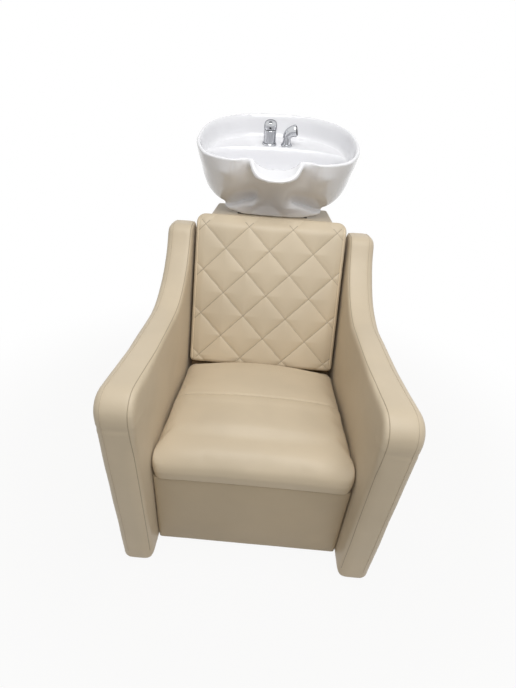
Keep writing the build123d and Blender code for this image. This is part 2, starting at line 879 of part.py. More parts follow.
pin_reach = base_ear_inner + ear_thickness + ear_gap
with BuildPart() as hinge_pin:
    with BuildSketch(standing(-pin_reach, hinge_y, hinge_z)):
        Circle(hinge_pin_diameter / 2)
    extrude(amount=2 * pin_reach)
    for end in (-pin_reach - hinge_pin_head_length, pin_reach):
        with BuildSketch(standing(end, hinge_y, hinge_z)):
            Circle(hinge_pin_head / 2)
        extrude(amount=hinge_pin_head_length)
save(hinge_pin, "hinge_pin")

with BuildPart() as base_plate_bolts:
    with BuildSketch(above_hinge(top_board_base)):
        with Locations(*plate_bolt_places):
            Circle(plate_bolt_diameter / 2)
    extrude(amount=plate_top - top_board_base - plate_gap)
    with BuildSketch(above_hinge(top_board_base - plate_bolt_head_height)):
        with Locations(*plate_bolt_places):
            RegularPolygon(plate_bolt_head / 2, 6, major_radius=False)
    extrude(amount=plate_bolt_head_height)
save(base_plate_bolts, "base_plate_bolts")

# Tilt lock: a slotted quadrant that swings with the basin and a lever that clamps it
slot_start = lock_angle - basin_tilt - quadrant_slot_margin
slot_sweep = basin_tilt + 2 * quadrant_slot_margin
quadrant_arc = CenterArc((0, 0), quadrant_radius, quadrant_start, -quadrant_start)
lock_slot_arc = CenterArc((0, 0), quadrant_radius, slot_start, slot_sweep)
with BuildPart() as tilt_quadrant:
    with BuildSketch(sideways(basin_plane, quadrant_x)):
        SlotArc(quadrant_arc, quadrant_band)
        with Locations((quadrant_radius, tilt_plate_low + quadrant_band)):
            Rectangle(2 * quadrant_band, 2 * quadrant_band, mode=Mode.SUBTRACT)
        SlotArc(lock_slot_arc, quadrant_slot_width, mode=Mode.SUBTRACT)
    extrude(amount=quadrant_thickness)
save(tilt_quadrant, "tilt_quadrant")


def lock_ring(start, length, outer, bore=0):
    """A ring or disc round the lock's axis, from one X along a length."""
    with BuildPart() as ring:
        with BuildSketch(standing(start, lock_y, lock_z)):
            Circle(outer / 2)
            if bore:
                Circle(bore / 2, mode=Mode.SUBTRACT)
        extrude(amount=length)
    return ring.part


pad_left = quadrant_x - fit_gap - lock_washer_thickness
pad_right = quadrant_x + quadrant_thickness + fit_gap
bracket_x = pad_left - lock_bracket_thickness
loose_bore = lock_stud_diameter + 2 * fit_gap
running_bore = lock_stud_diameter + 2 * running_gap
with BuildPart() as lock_pads:
    add(lock_ring(pad_left, lock_washer_thickness, lock_washer_diameter, loose_bore))
    add(lock_ring(pad_right, lock_washer_thickness, lock_washer_diameter, loose_bore))
save(lock_pads, "lock_pads")

bush_inner = housing_half_width - housing_wall
sleeve_start = pad_right + lock_washer_thickness
with BuildPart() as lock_sleeve:
    sleeve_length = bush_inner - lock_bush_flange_thickness - sleeve_start
    add(lock_ring(sleeve_start, sleeve_length, lock_bush_diameter, loose_bore))
save(lock_sleeve, "lock_sleeve")

with BuildPart() as lock_bush:
    add(lock_ring(bush_inner - lock_bush_flange_thickness, lock_bush_flange_thickness, lock_bush_flange))
    add(lock_ring(bush_inner, housing_wall, lock_bush_diameter))
    add(
        lock_ring(
            bush_inner - lock_bush_flange_thickness,
            housing_wall + lock_bush_flange_thickness,
            running_bore,
        ),
        mode=Mode.SUBTRACT,
    )
save(lock_bush, "lock_bush")

with BuildPart() as lock_bracket:
    with BuildSketch(standing(bracket_x, lock_y, lock_z)):
        bracket_drop = top_board_base - lock_z + lock_bush_diameter
        with Locations((0, (top_board_base - lock_z) - bracket_drop / 2)):
            Rectangle(lock_bracket_width, bracket_drop)
        Circle(running_bore / 2, mode=Mode.SUBTRACT)
    extrude(amount=lock_bracket_thickness)
    with BuildSketch(Plane(origin=(0, lock_y, top_board_base))):
        with Locations((bracket_x - lock_bracket_thickness, 0)):
            Rectangle(4 * lock_bracket_thickness, lock_bracket_width)
    extrude(amount=-lock_bracket_thickness)
save(lock_bracket, "lock_bracket")

lever_start = housing_half_width + lock_lever_standoff
stud_start = bracket_x - lock_nut_height - 2 * fit_gap
with BuildPart() as lock_stud:
    add(lock_ring(stud_start, lever_start - stud_start, lock_stud_diameter))
save(lock_stud, "lock_stud")

with BuildPart() as lock_nut:
    with BuildSketch(standing(stud_start, lock_y, lock_z)):
        RegularPolygon(lock_nut_across / 2, 6, major_radius=False)
        Circle(lock_stud_diameter / 2, mode=Mode.SUBTRACT)
    extrude(amount=lock_nut_height)
save(lock_nut, "lock_nut")

lever_rest = radians(lock_lever_rest_angle)
lever_plane = Plane(
    origin=(lever_start, lock_y, lock_z),
    x_dir=(0, cos(lever_rest), sin(lever_rest)),
    z_dir=(1, 0, 0),
)
grip_start = lock_lever_length - lock_grip_length
with BuildPart() as lock_lever:
    with BuildSketch(lever_plane):
        Circle(lock_lever_hub / 2)
        with Locations((grip_start / 2, 0)):
            Rectangle(grip_start, lock_lever_width)
    extrude(amount=lock_lever_thickness)
    fillet(lock_lever.edges().group_by(Axis.X)[-1], radius=lock_lever_thickness / 6)
save(lock_lever, "lock_lever")

grip_plane = Plane(
    origin=lever_plane.from_local_coords((grip_start, 0, lock_lever_thickness / 2)),
    x_dir=(1, 0, 0),
    z_dir=lever_plane.x_dir,
)
with BuildPart() as lock_grip:
    with BuildSketch(grip_plane):
        Circle(lock_grip_diameter * 0.35)
    with BuildSketch(grip_plane.offset(lock_grip_length * 0.6)):
        Circle(lock_grip_diameter / 2)
    with BuildSketch(grip_plane.offset(lock_grip_length)):
        Circle(lock_grip_diameter * 0.3)
    loft()
save(lock_grip, "lock_grip")


# Ceramic basin: a deep bowl under a wider tray, with a neck rest in front and a ledge for the taps behind
def basin_outline(half_width, front, rear, pinch=0):
    """Plan of the basin at one height: a closed curve, blunter in front than behind, dented by a pinch."""
    points = []
    steps = 4 * plan_quarter_steps
    for step in range(steps):
        angle = 2 * pi * step / steps
        across_share = sin(angle)
        along_share = cos(angle)
        exponent = front_exponent if along_share > 0 else rear_exponent
        reach = basin_wide - front if along_share > 0 else rear - basin_wide
        x = half_width * copysign(abs(across_share) ** (2 / exponent), across_share)
        depth = basin_wide - reach * copysign(abs(along_share) ** (2 / exponent), along_share)
        points.append((x, depth + pinch if step == 0 else depth))
    with BuildSketch() as outline:
        with BuildLine():
            Spline(*points, periodic=True)
        make_face()
    return outline.sketch


rim_tilt = radians(basin_tilt + rim_slope)
rim_plane = Plane(
    origin=basin_plane.from_local_coords((0, neck_cusp, rim_height)),
    x_dir=(1, 0, 0),
    z_dir=(0, -sin(rim_tilt), cos(rim_tilt)),
)


def rim_outline(inset, lift):
    """The basin's plan on the sloping rim, drawn in by an inset."""
    half_width = basin_half_widths[0] - inset
    front = basin_tray_fronts[0] + inset
    rear = basin_tray_rears[0] - inset
    with BuildSketch(rim_plane.offset(lift)) as rim:
        with Locations((0, -neck_cusp)):
            add(basin_outline(half_width, front, rear))
    return rim.sketch


# The neck rest: an outward-curving lip, open at the top, on a cylinder that slopes to the front
neck_tilt = radians(basin_tilt + neck_slope)
neck_plane = Plane(
    origin=basin_plane.from_local_coords((0, neck_cusp - neck_reach - overrun, neck_low + neck_radius)),
    x_dir=(1, 0, 0),
    z_dir=(0, cos(neck_tilt), sin(neck_tilt)),
)
neck_length = neck_reach + 2 * overrun - neck_cusp / 2
with BuildPart() as neck_lip:
    with BuildSketch(basin_plane.offset(neck_low - 3 * basin_wall)):
        with Locations((0, neck_cusp)):
            Ellipse(neck_half_width, neck_reach)
            with Locations((0, neck_reach / 2 + basin_wall)):
                Rectangle(2 * neck_half_width, neck_reach, mode=Mode.SUBTRACT)
    extrude(amount=rim_height - neck_low + 3 * basin_wall - rim_round)
    with BuildSketch(neck_plane):
        Circle(neck_radius + basin_wall)
    extrude(amount=neck_length, mode=Mode.INTERSECT)


def hinge_pocket():
    """Hollow under the foot of the basin that the hinge ears swing in."""
    with BuildPart() as pocket:
        with BuildSketch(basin_plane.offset(basin_floor - overrun)):
            RectangleRounded(2 * hinge_pocket_half_width, 2 * hinge_pocket_depth, ear_thickness)
        extrude(amount=hinge_pocket_height - basin_floor + overrun)
    return pocket.part


with BuildPart() as pedestal:
    for height, half_width, half_depth, centre in zip(
        pedestal_heights, pedestal_half_widths, pedestal_half_depths, pedestal_centres
    ):
        with BuildSketch(basin_plane.offset(height)):
            with Locations((0, centre)):
                with BuildLine():
                    front = ThreePointArc((-half_width, 0), (0, -half_depth), (half_width, 0))
                    ThreePointArc(front @ 1, (0, half_depth), front @ 0)
                make_face()
    loft()

with BuildPart() as tray_hollow:
    with BuildSketch(basin_plane.offset(deck_height)):
        add(
            basin_outline(
                basin_half_widths[2] - basin_wall / 2,
                basin_tray_fronts[2] + basin_wall,
                basin_tray_rears[2] - basin_wall / 2,
            )
        )
    add(rim_outline(basin_wall, overrun / 4))
    loft()

with BuildPart() as bowl_hollow:
    for height, inset, half_width, front, rear in zip(
        cavity_heights, cavity_insets, bowl_half_widths, cavity_fronts, bowl_rears
    ):
        with BuildSketch(basin_plane.offset(height)):
            add(basin_outline(half_width - inset, front, rear - inset))
    loft()

with BuildPart() as basin_bowl:
    add(rim_outline(0, 0))
    for height, half_width, front, rear in zip(
        basin_tray_heights[1:], basin_half_widths[1:], basin_tray_fronts[1:], basin_tray_rears[1:]
    ):
        with BuildSketch(basin_plane.offset(height)):
            add(basin_outline(half_width, front, rear))
    loft()
    for index, height in enumerate(bowl_heights):
        with BuildSketch(basin_plane.offset(height)):
            pinch = bowl_pinch * min(1, 2 * index / len(bowl_heights))
            add(basin_outline(bowl_half_widths[index], bowl_fronts[index], bowl_rears[index], pinch))
    loft()
    add(pedestal.part)
    add(neck_lip.part)
    add(tray_hollow.part, mode=Mode.SUBTRACT)
    add(bowl_hollow.part, mode=Mode.SUBTRACT)
    with BuildSketch(neck_plane):
        Circle(neck_radius)
    extrude(amount=neck_length, mode=Mode.SUBTRACT)
    add(hinge_pocket(), mode=Mode.SUBTRACT)
    with Locations(basin_plane.offset(cavity_heights[-1])):
        with Locations((0, drain_back)):
            CounterBoreHole(
                radius=drain_hole / 2,
                counter_bore_radius=drain_flange_diameter / 2 + fit_gap,
                counter_bore_depth=drain_flange_thickness,
                depth=cavity_heights[-1] - basin_floor,
            )
    with Locations(basin_plane.offset(deck_height)):
        for x, bore in ((mixer_x, shank_diameter), (shower_x, shower_shank_diameter)):
            with Locations((x, tap_back)):
                Hole(radius=bore / 2 + bolt_hole_clearance, depth=2 * (deck_height - basin_tray_heights[2]))
    with BuildSketch(basin_plane.offset(basin_floor)):
        with Locations(*tilt_screw_places):
            Circle(tilt_screw_diameter / 2 + fit_gap)
    extrude(amount=tilt_screw_depth + fit_gap, mode=Mode.SUBTRACT)
save(basin_bowl, "basin_bowl")


# Waste: flange, gasket, tail, back nut and a lift-out strainer
def drain_ring(height, length, outer, bore=0):
    """A ring or disc on the drain's axis, from a height above the hinge axis along a length."""
    with BuildPart() as ring:
        with BuildSketch(basin_plane.offset(height)):
            with Locations((0, drain_back)):
                Circle(outer / 2)
                if bore:
                    Circle(bore / 2, mode=Mode.SUBTRACT)
        extrude(amount=length)
    return ring.part


bowl_bottom = cavity_heights[-1]
flange_low = bowl_bottom - drain_flange_thickness
tail_low = flange_low - drain_length
with BuildPart() as drain_tail:
    add(drain_ring(flange_low, drain_flange_thickness, drain_flange_diameter))
    add(drain_ring(tail_low, drain_length, drain_spigot_diameter))
    add(drain_ring(tail_low + drain_spigot_length, drain_length - drain_spigot_length, drain_shank_diameter))
    add(drain_ring(tail_low, drain_length + drain_flange_thickness, drain_bore), mode=Mode.SUBTRACT)
save(drain_tail, "drain_tail")

gasket_low = basin_floor - drain_gasket_thickness
with BuildPart() as drain_gasket:
    add(drain_ring(gasket_low, drain_gasket_thickness, drain_gasket_diameter, drain_shank_diameter))
save(drain_gasket, "drain_gasket")

with BuildPart() as drain_nut:
    with BuildSketch(basin_plane.offset(gasket_low - drain_nut_height)):
        with Locations((0, drain_back)):
            RegularPolygon(drain_nut_across / 2, 8, major_radius=False)
            Circle(drain_shank_diameter / 2, mode=Mode.SUBTRACT)
    extrude(amount=drain_nut_height)
save(drain_nut, "drain_nut")

with BuildPart() as drain_strainer:
    add(drain_ring(bowl_bottom + fit_gap, strainer_top_thickness, strainer_cap_diameter))
    add(drain_ring(bowl_bottom + fit_gap - strainer_depth, strainer_depth, strainer_diameter))
    add(
        drain_ring(
            bowl_bottom + fit_gap - strainer_depth, strainer_depth, strainer_diameter - 2 * strainer_wall
        ),
        mode=Mode.SUBTRACT,
    )
    with BuildSketch(basin_plane.offset(bowl_bottom)):
        with Locations((0, drain_back)):
            Circle(strainer_hole / 2)
            for radius, count in zip(strainer_ring_radii, strainer_ring_counts):
                with PolarLocations(radius, count):
                    Circle(strainer_hole / 2)
    extrude(amount=strainer_top_thickness * 2, mode=Mode.SUBTRACT)
save(drain_strainer, "drain_strainer")


# Taps on the rear ledge
ledge_plane = basin_plane.offset(deck_height)
ledge_under = basin_tray_heights[2] - deck_height


def turned(x, profile, bore=0):
    """A piece turned about a tap's axis from half a profile of radius and height pairs."""
    plane = Plane(
        origin=ledge_plane.from_local_coords((x, tap_back, 0)), x_dir=(1, 0, 0), z_dir=-basin_plane.y_dir
    )
    with BuildPart() as piece:
        with BuildSketch(plane):
            with BuildLine():
                Polyline((bore, profile[0][1]), *profile, (bore, profile[-1][1]), (bore, profile[0][1]))
            make_face()
        revolve(axis=Axis(plane.origin, basin_plane.z_dir))
    return piece.part


def save_shape(shape, name):
    """Label a finished shape and write it to its own file."""
    with BuildPart() as piece:
        add(shape)
    save(piece, name)


def back_nut(x, across_flats, bore, name):
    """A washer and a hexagonal nut under the ledge."""
    washer_low = ledge_under - tap_washer_thickness
    save_shape(
        turned(x, ((tap_washer_diameter / 2, washer_low), (tap_washer_diameter / 2, ledge_under)), bore / 2),
        f"{name}_washer",
    )
    with BuildPart() as nut:
        with BuildSketch(ledge_plane.offset(washer_low - tap_nut_height)):
            with Locations((x, tap_back)):
                RegularPolygon(across_flats / 2, 6, major_radius=False)
                Circle(bore / 2, mode=Mode.SUBTRACT)
        extrude(amount=tap_nut_height)
    save(nut, f"{name}_nut")


ring_edge = mixer_ring_height / 3
save_shape(
    turned(
        mixer_x,
        (
            (mixer_ring_diameter / 2, 0),
            (mixer_ring_diameter / 2, mixer_ring_height - ring_edge),
            (mixer_ring_diameter / 2 - ring_edge, mixer_ring_height),
        ),
        shank_diameter / 2,
    ),
    "mixer_base_ring",
)
body_top = mixer_ring_height + mixer_body_height
mixer_radius = mixer_body_diameter / 2
save_shape(
    turned(
        mixer_x,
        (
            (mixer_radius, mixer_ring_height),
            (mixer_waist_diameter / 2, mixer_ring_height + mixer_body_height / 2),
            (mixer_radius - mixer_bevel, body_top - mixer_bevel),
            (mixer_radius - 2 * mixer_bevel, body_top),
        ),
    ),
    "mixer_body",
)
save_shape(
    turned(
        mixer_x,
        ((shank_diameter / 2, -shank_length), (shank_diameter / 2, mixer_ring_height)),
        shank_bore / 2,
    ),
    "mixer_shank",
)
back_nut(mixer_x, tap_nut_across, shank_diameter, "mixer")

inlet_places = [(mixer_x - inlet_tube_spread, tap_back), (mixer_x + inlet_tube_spread, tap_back)]
with BuildPart() as inlet_tubes:
    for outer, length in (
        (inlet_tube_diameter, inlet_tube_length + mixer_ring_height),
        (inlet_end_diameter, inlet_end_length),
    ):
        with BuildSketch(ledge_plane.offset(-inlet_tube_length)):
            with Locations(*inlet_places):
                Circle(outer / 2)
        extrude(amount=length)
    with BuildSketch(ledge_plane.offset(-inlet_tube_length)):
        with Locations(*inlet_places):
            Circle(inlet_tube_bore / 2)
    extrude(amount=inlet_tube_length + mixer_ring_height, mode=Mode.SUBTRACT)
save(inlet_tubes, "inlet_tubes")

# The turret turns on the body; the handle's cap is a shell round its ball, and lifts about its centre
turret_base = body_top + fit_gap
ball_height = turret_base + turret_disc_height + ball_radius / 3
with BuildPart() as mixer_turret:
    add(
        turned(
            mixer_x,
            (
                (mixer_waist_diameter / 2 - mixer_bevel, turret_base),
                (mixer_waist_diameter / 2 - mixer_bevel, turret_base + turret_disc_height / 2),
                (ball_radius, turret_base + turret_disc_height),
            ),
        )
    )
    with Locations(ledge_plane.offset(ball_height)):
        with Locations((mixer_x, tap_back)):
            Sphere(ball_radius)
    with BuildSketch(ledge_plane.offset(turret_base)):
        with Locations((mixer_x, tap_back)):
            Rectangle(3 * ball_radius, 3 * ball_radius)
    extrude(amount=-ball_radius * 2, mode=Mode.SUBTRACT)
save(mixer_turret, "mixer_turret")

cap_low = ball_height + cap_lift_gap
with BuildPart() as mixer_handle:
    add(
        turned(
            mixer_x,
            (
                (cap_radius - mixer_bevel, cap_low),
                (cap_radius, cap_low + mixer_bevel),
                (cap_radius, cap_low + cap_height * 0.45),
                (cap_radius * 0.9, cap_low + cap_height * 0.72),
                (cap_radius * 0.62, cap_low + cap_height * 0.93),
                (cap_radius * 0.3, cap_low + cap_height),
            ),
        )
    )
    root_plane = across(ledge_plane, tap_back - cap_radius / 2, 0)
    tip_plane = across(ledge_plane, tap_back - cap_radius - mixer_lever_reach, 0)
    with BuildSketch(root_plane):
        with Locations((mixer_x, cap_low + mixer_lever_thickness)):
            RectangleRounded(mixer_lever_width, mixer_lever_thickness * 1.6, mixer_lever_thickness / 2)
    with BuildSketch(tip_plane):
        with Locations((mixer_x, cap_low + mixer_lever_thickness + mixer_lever_rise)):
            RectangleRounded(mixer_lever_width * 0.8, mixer_lever_thickness, mixer_lever_thickness / 3)
    loft()
    with Locations(ledge_plane.offset(ball_height)):
        with Locations((mixer_x, tap_back)):
            Sphere(ball_radius + cap_ball_gap, mode=Mode.SUBTRACT)
save(mixer_handle, "mixer_handle")

plug_plane = across(ledge_plane, tap_back - cap_radius, 0)
with BuildPart() as index_plug:
    with BuildSketch(plug_plane):
        with Locations((mixer_x, cap_low + cap_height * 0.62)):
            Circle(index_plug_diameter / 2)
    extrude(amount=index_plug_depth)
    add(mixer_handle.part, mode=Mode.SUBTRACT)
save(index_plug, "index_plug")

# Pull-out shower: fixed ring and sleeve, handset with a bent neck and a head that faces right
save_shape(
    turned(
        shower_x,
        (
            (shower_ring_diameter / 2, 0),
            (shower_ring_diameter / 2, shower_ring_height - ring_edge),
            (shower_ring_diameter / 2 - ring_edge, shower_ring_height),
        ),
        shower_shank_diameter / 2,
    ),
    "shower_base_ring",
)
save_shape(
    turned(
        shower_x,
        (
            (shower_shank_diameter / 2, -shower_shank_length),
            (shower_shank_diameter / 2, shower_ring_height),
            (shower_sleeve_diameter / 2, shower_ring_height),
            (shower_sleeve_top / 2, shower_ring_height + shower_sleeve_height),
        ),
        shower_bore / 2,
    ),
    "shower_sleeve",
)
back_nut(shower_x, shower_nut_across, shower_shank_diameter, "shower")

collar_low = shower_ring_height + shower_sleeve_height + fit_gap
neck_start = collar_low + handset_collar_height
bend = radians(handset_neck_angle)
neck_end = (
    shower_x + handset_neck_radius * (1 - cos(bend)),
    neck_start + handset_neck_radius * sin(bend),
)
shower_side = across(ledge_plane, tap_back, 0)
head_plane = Plane(
    origin=shower_side.from_local_coords((neck_end[0], neck_end[1], 0)),
    x_dir=basin_plane.y_dir,
    z_dir=shower_side.x_dir * sin(bend) + shower_side.y_dir * cos(bend),
)
with BuildPart() as handset_body:
    add(
        turned(
            shower_x,
            (
                (handset_stem_diameter / 2, collar_low - handset_stem_length),
                (handset_stem_diameter / 2, collar_low),
                (handset_collar_diameter / 2, collar_low),
                (handset_collar_diameter / 2, neck_start),
            ),
        )
    )
    with BuildLine(shower_side) as neck_path:
        CenterArc(
            (shower_x + handset_neck_radius, neck_start),
            handset_neck_radius,
            start_angle=180,
            arc_size=-handset_neck_angle,
        )
    with BuildSketch(ledge_plane.offset(neck_start)):
        with Locations((shower_x, tap_back)):
            Circle(handset_neck_diameter / 2)
    sweep(path=neck_path.line)
    with BuildSketch(head_plane):
        Circle(handset_neck_diameter / 2)
    with BuildSketch(head_plane.offset(handset_head_depth * 0.6)):
        Circle(handset_head_diameter / 2)
    loft()
    with BuildSketch(head_plane.offset(handset_head_depth * 0.6)):
        Circle(handset_head_diameter / 2)
    extrude(amount=handset_head_depth * 0.4)
    with BuildSketch(head_plane.offset(handset_head_depth)):
        Circle(handset_face_diameter / 2)
    extrude(amount=-handset_face_thickness, mode=Mode.SUBTRACT)
save(handset_body, "handset_body")

with BuildPart() as handset_face:
    with BuildSketch(head_plane.offset(handset_head_depth - handset_face_thickness)):
        Circle(handset_face_diameter / 2)
        for radius, count in zip(handset_jet_radii, handset_jet_counts):
            with PolarLocations(radius, count):
                Circle(handset_jet / 2, mode=Mode.SUBTRACT)
    extrude(amount=handset_face_thickness)
save(handset_face, "handset_face")

with BuildPart() as tilt_screws:
    with BuildSketch(basin_plane.offset(tilt_plate_low)):
        with Locations(*tilt_screw_places):
            Circle(tilt_screw_diameter / 2)
    extrude(amount=basin_floor + tilt_screw_depth - tilt_plate_low)
    for place in tilt_screw_places:
        with BuildSketch(basin_plane.offset(tilt_plate_low)):
            with Locations(place):
                Circle(tilt_screw_head / 2)
        with BuildSketch(basin_plane.offset(tilt_plate_low + (tilt_screw_head - tilt_screw_diameter) / 2)):
            with Locations(place):
                Circle(tilt_screw_diameter / 2)
        loft()
save(tilt_screws, "tilt_screws")
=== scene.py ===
"""Backwash shampoo chair: upholstery, glazed basin, taps, housing and stage around the fixed frame."""

import json
from math import acos, exp, pi, radians, sqrt, tan

import bmesh
import bpy
from bpy.props import FloatProperty, FloatVectorProperty, IntProperty, PointerProperty
from bpy.types import Operator, Panel, PropertyGroup
from mathutils import Matrix, Vector, noise
from mathutils.bvhtree import BVHTree


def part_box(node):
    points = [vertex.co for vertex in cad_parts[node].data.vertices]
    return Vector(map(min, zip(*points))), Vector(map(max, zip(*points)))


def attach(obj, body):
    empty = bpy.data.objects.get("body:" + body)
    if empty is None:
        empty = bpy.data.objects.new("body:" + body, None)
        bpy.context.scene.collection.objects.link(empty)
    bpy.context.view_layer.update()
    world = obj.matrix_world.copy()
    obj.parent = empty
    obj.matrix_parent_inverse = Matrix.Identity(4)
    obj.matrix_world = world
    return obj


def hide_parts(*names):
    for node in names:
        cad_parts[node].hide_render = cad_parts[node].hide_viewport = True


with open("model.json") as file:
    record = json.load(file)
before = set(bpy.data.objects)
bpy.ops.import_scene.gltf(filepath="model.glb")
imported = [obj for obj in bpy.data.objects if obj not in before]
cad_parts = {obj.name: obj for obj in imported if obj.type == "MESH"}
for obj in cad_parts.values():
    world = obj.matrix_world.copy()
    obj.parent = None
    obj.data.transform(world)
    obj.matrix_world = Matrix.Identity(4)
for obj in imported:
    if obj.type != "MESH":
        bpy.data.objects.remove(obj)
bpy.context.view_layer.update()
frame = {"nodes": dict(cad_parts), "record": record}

bl_info = {
    "name": "Backwash shampoo chair",
    "version": (1, 0, 0),
    "blender": (4, 5, 0),
    "location": "View3D > Sidebar > Chair",
    "description": "Upholstery, glazed basin, taps, housing and stage of a backwash shampoo chair",
    "category": "Object",
}

MM = 0.001


# Sizes and colours that a user would change
def colour_setting(name, description, default):
    """A colour to choose."""
    return FloatVectorProperty(
        name=name, description=description, subtype="COLOR", size=3, min=0, max=1, default=default
    )


def length_setting(name, description, default):
    """A length in metres to choose."""
    return FloatProperty(
        name=name, description=description, subtype="DISTANCE", unit="LENGTH", default=default
    )


def angle_setting(name, description, default):
    """An angle to choose."""
    return FloatProperty(
        name=name, description=description, subtype="ANGLE", unit="ROTATION", default=default
    )


class UpholsterySettings(PropertyGroup):
    """Leatherette, arms, seat and quilted back"""

    leather_colour: colour_setting(
        "Leatherette", "Colour of the leatherette on seat, back and arms", (0.62, 0.522, 0.38)
    )
    panel_colour: colour_setting(
        "Panel leatherette", "Colour of the leatherette on the panel under the seat", (0.49, 0.4, 0.275)
    )
    grain_size: length_setting("Grain", "Width of one pebble of the grain", 0.0012)
    remesh_size: length_setting(
        "Skin mesh", "Edge length of the arms' and seat's skins before smoothing", 0.0055
    )
    # Darker than the leatherette: besides the seam itself, this colour paints the shade in the seams'
    # grooves.
    seam_groove_shade_colour: colour_setting("Seams", "Colour of the sewn seams in their grooves", (0.4, 0.33, 0.23))
    seam_radius: length_setting("Seam", "Radius of the sewn seams", 0.001)
    arm_crown: length_setting("Arm crown", "Height of the padding's crown on the arms' top strips", 0.001)
    quilt_width: length_setting("Diamond width", "Width of one diamond of the quilted back", 0.1465)
    quilt_height: length_setting("Diamond height", "Height of one diamond of the quilted back", 0.149)
    quilt_centre: length_setting(
        "Quilt centre", "Distance up the back of a crossing on the middle line", 0.24
    )
    quilt_puff: length_setting(
        "Diamond puff", "Height of a diamond's middle over its stitched lines", 0.0042
    )
    seat_swell: length_setting("Seat swell", "Furthest that the filling may push the seat's skin out", 0.009)
    crease_place: length_setting(
        "Seat crease", "Place of the sewn crease across the seat, from front to rear", -0.248
    )
    recline: angle_setting("Recline", "Angle of the back from upright", radians(17.7))


class BasinSettings(PropertyGroup):
    """Glazed basin and metal fittings"""

    glaze_colour: colour_setting("Glaze", "Colour of the basin's glaze", (0.85, 0.85, 0.87))
    glaze_size: length_setting("Glaze mesh", "Edge length of the basin's skin before smoothing", 0.0036)
    glaze_rounds: IntProperty(
        name="Glaze smoothing", description="Rounds of smoothing that give the basin its soft edges",
        default=7, min=0,
    )
    basin_tilt: angle_setting("Basin tilt", "Tilt of the basin at rest, rear up", radians(14))
    chrome_colour: colour_setting("Chrome", "Colour of the polished fittings", (0.6, 0.61, 0.63))


class StageSettings(PropertyGroup):
    """Floor, lamps and camera"""

    floor_colour: colour_setting("Floor", "Colour of the floor", (0.5, 0.47, 0.42))
    camera_place: FloatVectorProperty(
        name="Camera", description="Place of the camera",
        subtype="TRANSLATION", unit="LENGTH", size=3, default=(-0.0101, -1.2763, 1.1158),
    )
    camera_pitch: angle_setting("Pitch", "Angle of the camera below the horizon", radians(28.77))
    camera_yaw: angle_setting("Yaw", "Turn of the camera to the left", radians(1.553))
    camera_roll: angle_setting("Roll", "Roll of the camera about its view", radians(3.88))
    camera_lens: FloatProperty(
        name="Lens", description="Focal length on a 36 mm long side, in millimetres", default=21.92,
    )
    world_strength: FloatProperty(
        name="Room light", description="Strength of the light from all round", default=0.36,
    )
    ceiling_power: FloatProperty(
        name="Ceiling lamp", description="Power of the lamp over the seat, in watts", default=23,
    )
    front_power: FloatProperty(
        name="Front lamp", description="Power of the lamp in front on the right, in watts", default=19,
    )


def upholstery():
    """The upholstery's settings."""
    return bpy.context.scene.chair_upholstery


def basin():
    """The basin's settings."""
    return bpy.context.scene.chair_basin


def stage():
    """The stage's settings."""
    return bpy.context.scene.chair_stage


# Materials
def shade(colour, factor):
    """A colour made lighter or darker, with full alpha."""
    return tuple(min(1.0, part * factor) for part in colour) + (1.0,)


def set_inputs(node, values):
    """Gives some of a shader node's inputs their values."""
    for name, value in values.items():
        node.inputs[name].default_value = value


class Finish:
    """A material with its shader and short ways to add texture nodes on Object coordinates."""

    def __init__(self, name, colour, roughness, metallic=0.0):
        self.material = bpy.data.materials.new(name)
        self.material.use_nodes = True
        self.nodes = self.material.node_tree.nodes
        self.links = self.material.node_tree.links
        self.shader = self.nodes["Principled BSDF"]
        base = shade(colour, 1.0)
        set_inputs(self.shader, {"Base Color": base, "Roughness": roughness, "Metallic": metallic})
        self.place = self.nodes.new("ShaderNodeTexCoord").outputs["Object"]
        self.last_bump = None

    def stretched(self, scale):
        """Object coordinates stretched by a scale along each axis."""
        mapping = self.nodes.new("ShaderNodeMapping")
        mapping.inputs["Scale"].default_value = scale
        self.links.new(self.place, mapping.inputs["Vector"])
        return mapping.outputs["Vector"]

    def noise(self, scale, detail=3.0, place=None):
        """Soft noise of a number of waves per metre."""
        node = self.nodes.new("ShaderNodeTexNoise")
        set_inputs(node, {"Scale": scale, "Detail": detail})
        self.links.new(place or self.place, node.inputs["Vector"])
        return node.outputs["Fac"]

    def pebbles(self, scale):
        """Pebbled grain of a number of cells per metre."""
        node = self.nodes.new("ShaderNodeTexVoronoi")
        node.feature = "SMOOTH_F1"
        node.inputs["Scale"].default_value = scale
        self.links.new(self.place, node.inputs["Vector"])
        return node.outputs["Distance"]

    def vary_colour(self, factor, dark, light):
        """The base colour runs between two tones."""
        ramp = self.nodes.new("ShaderNodeValToRGB")
        ramp.color_ramp.elements[0].position = 0.3
        ramp.color_ramp.elements[0].color = dark
        ramp.color_ramp.elements[1].position = 0.7
        ramp.color_ramp.elements[1].color = light
        self.links.new(factor, ramp.inputs["Fac"])
        self.links.new(ramp.outputs["Color"], self.shader.inputs["Base Color"])

    def vary_roughness(self, factor, low, high):
        """The roughness runs between two values."""
        spread = self.nodes.new("ShaderNodeMapRange")
        set_inputs(spread, {"To Min": low, "To Max": high})
        self.links.new(factor, spread.inputs["Value"])
        self.links.new(spread.outputs["Result"], self.shader.inputs["Roughness"])

    def bump(self, height, strength, distance):
        """One more layer of relief."""
        node = self.nodes.new("ShaderNodeBump")
        set_inputs(node, {"Strength": strength, "Distance": distance})
        self.links.new(height, node.inputs["Height"])
        if self.last_bump:
            self.links.new(self.last_bump, node.inputs["Normal"])
        self.last_bump = node.outputs["Normal"]
        self.links.new(self.last_bump, self.shader.inputs["Normal"])


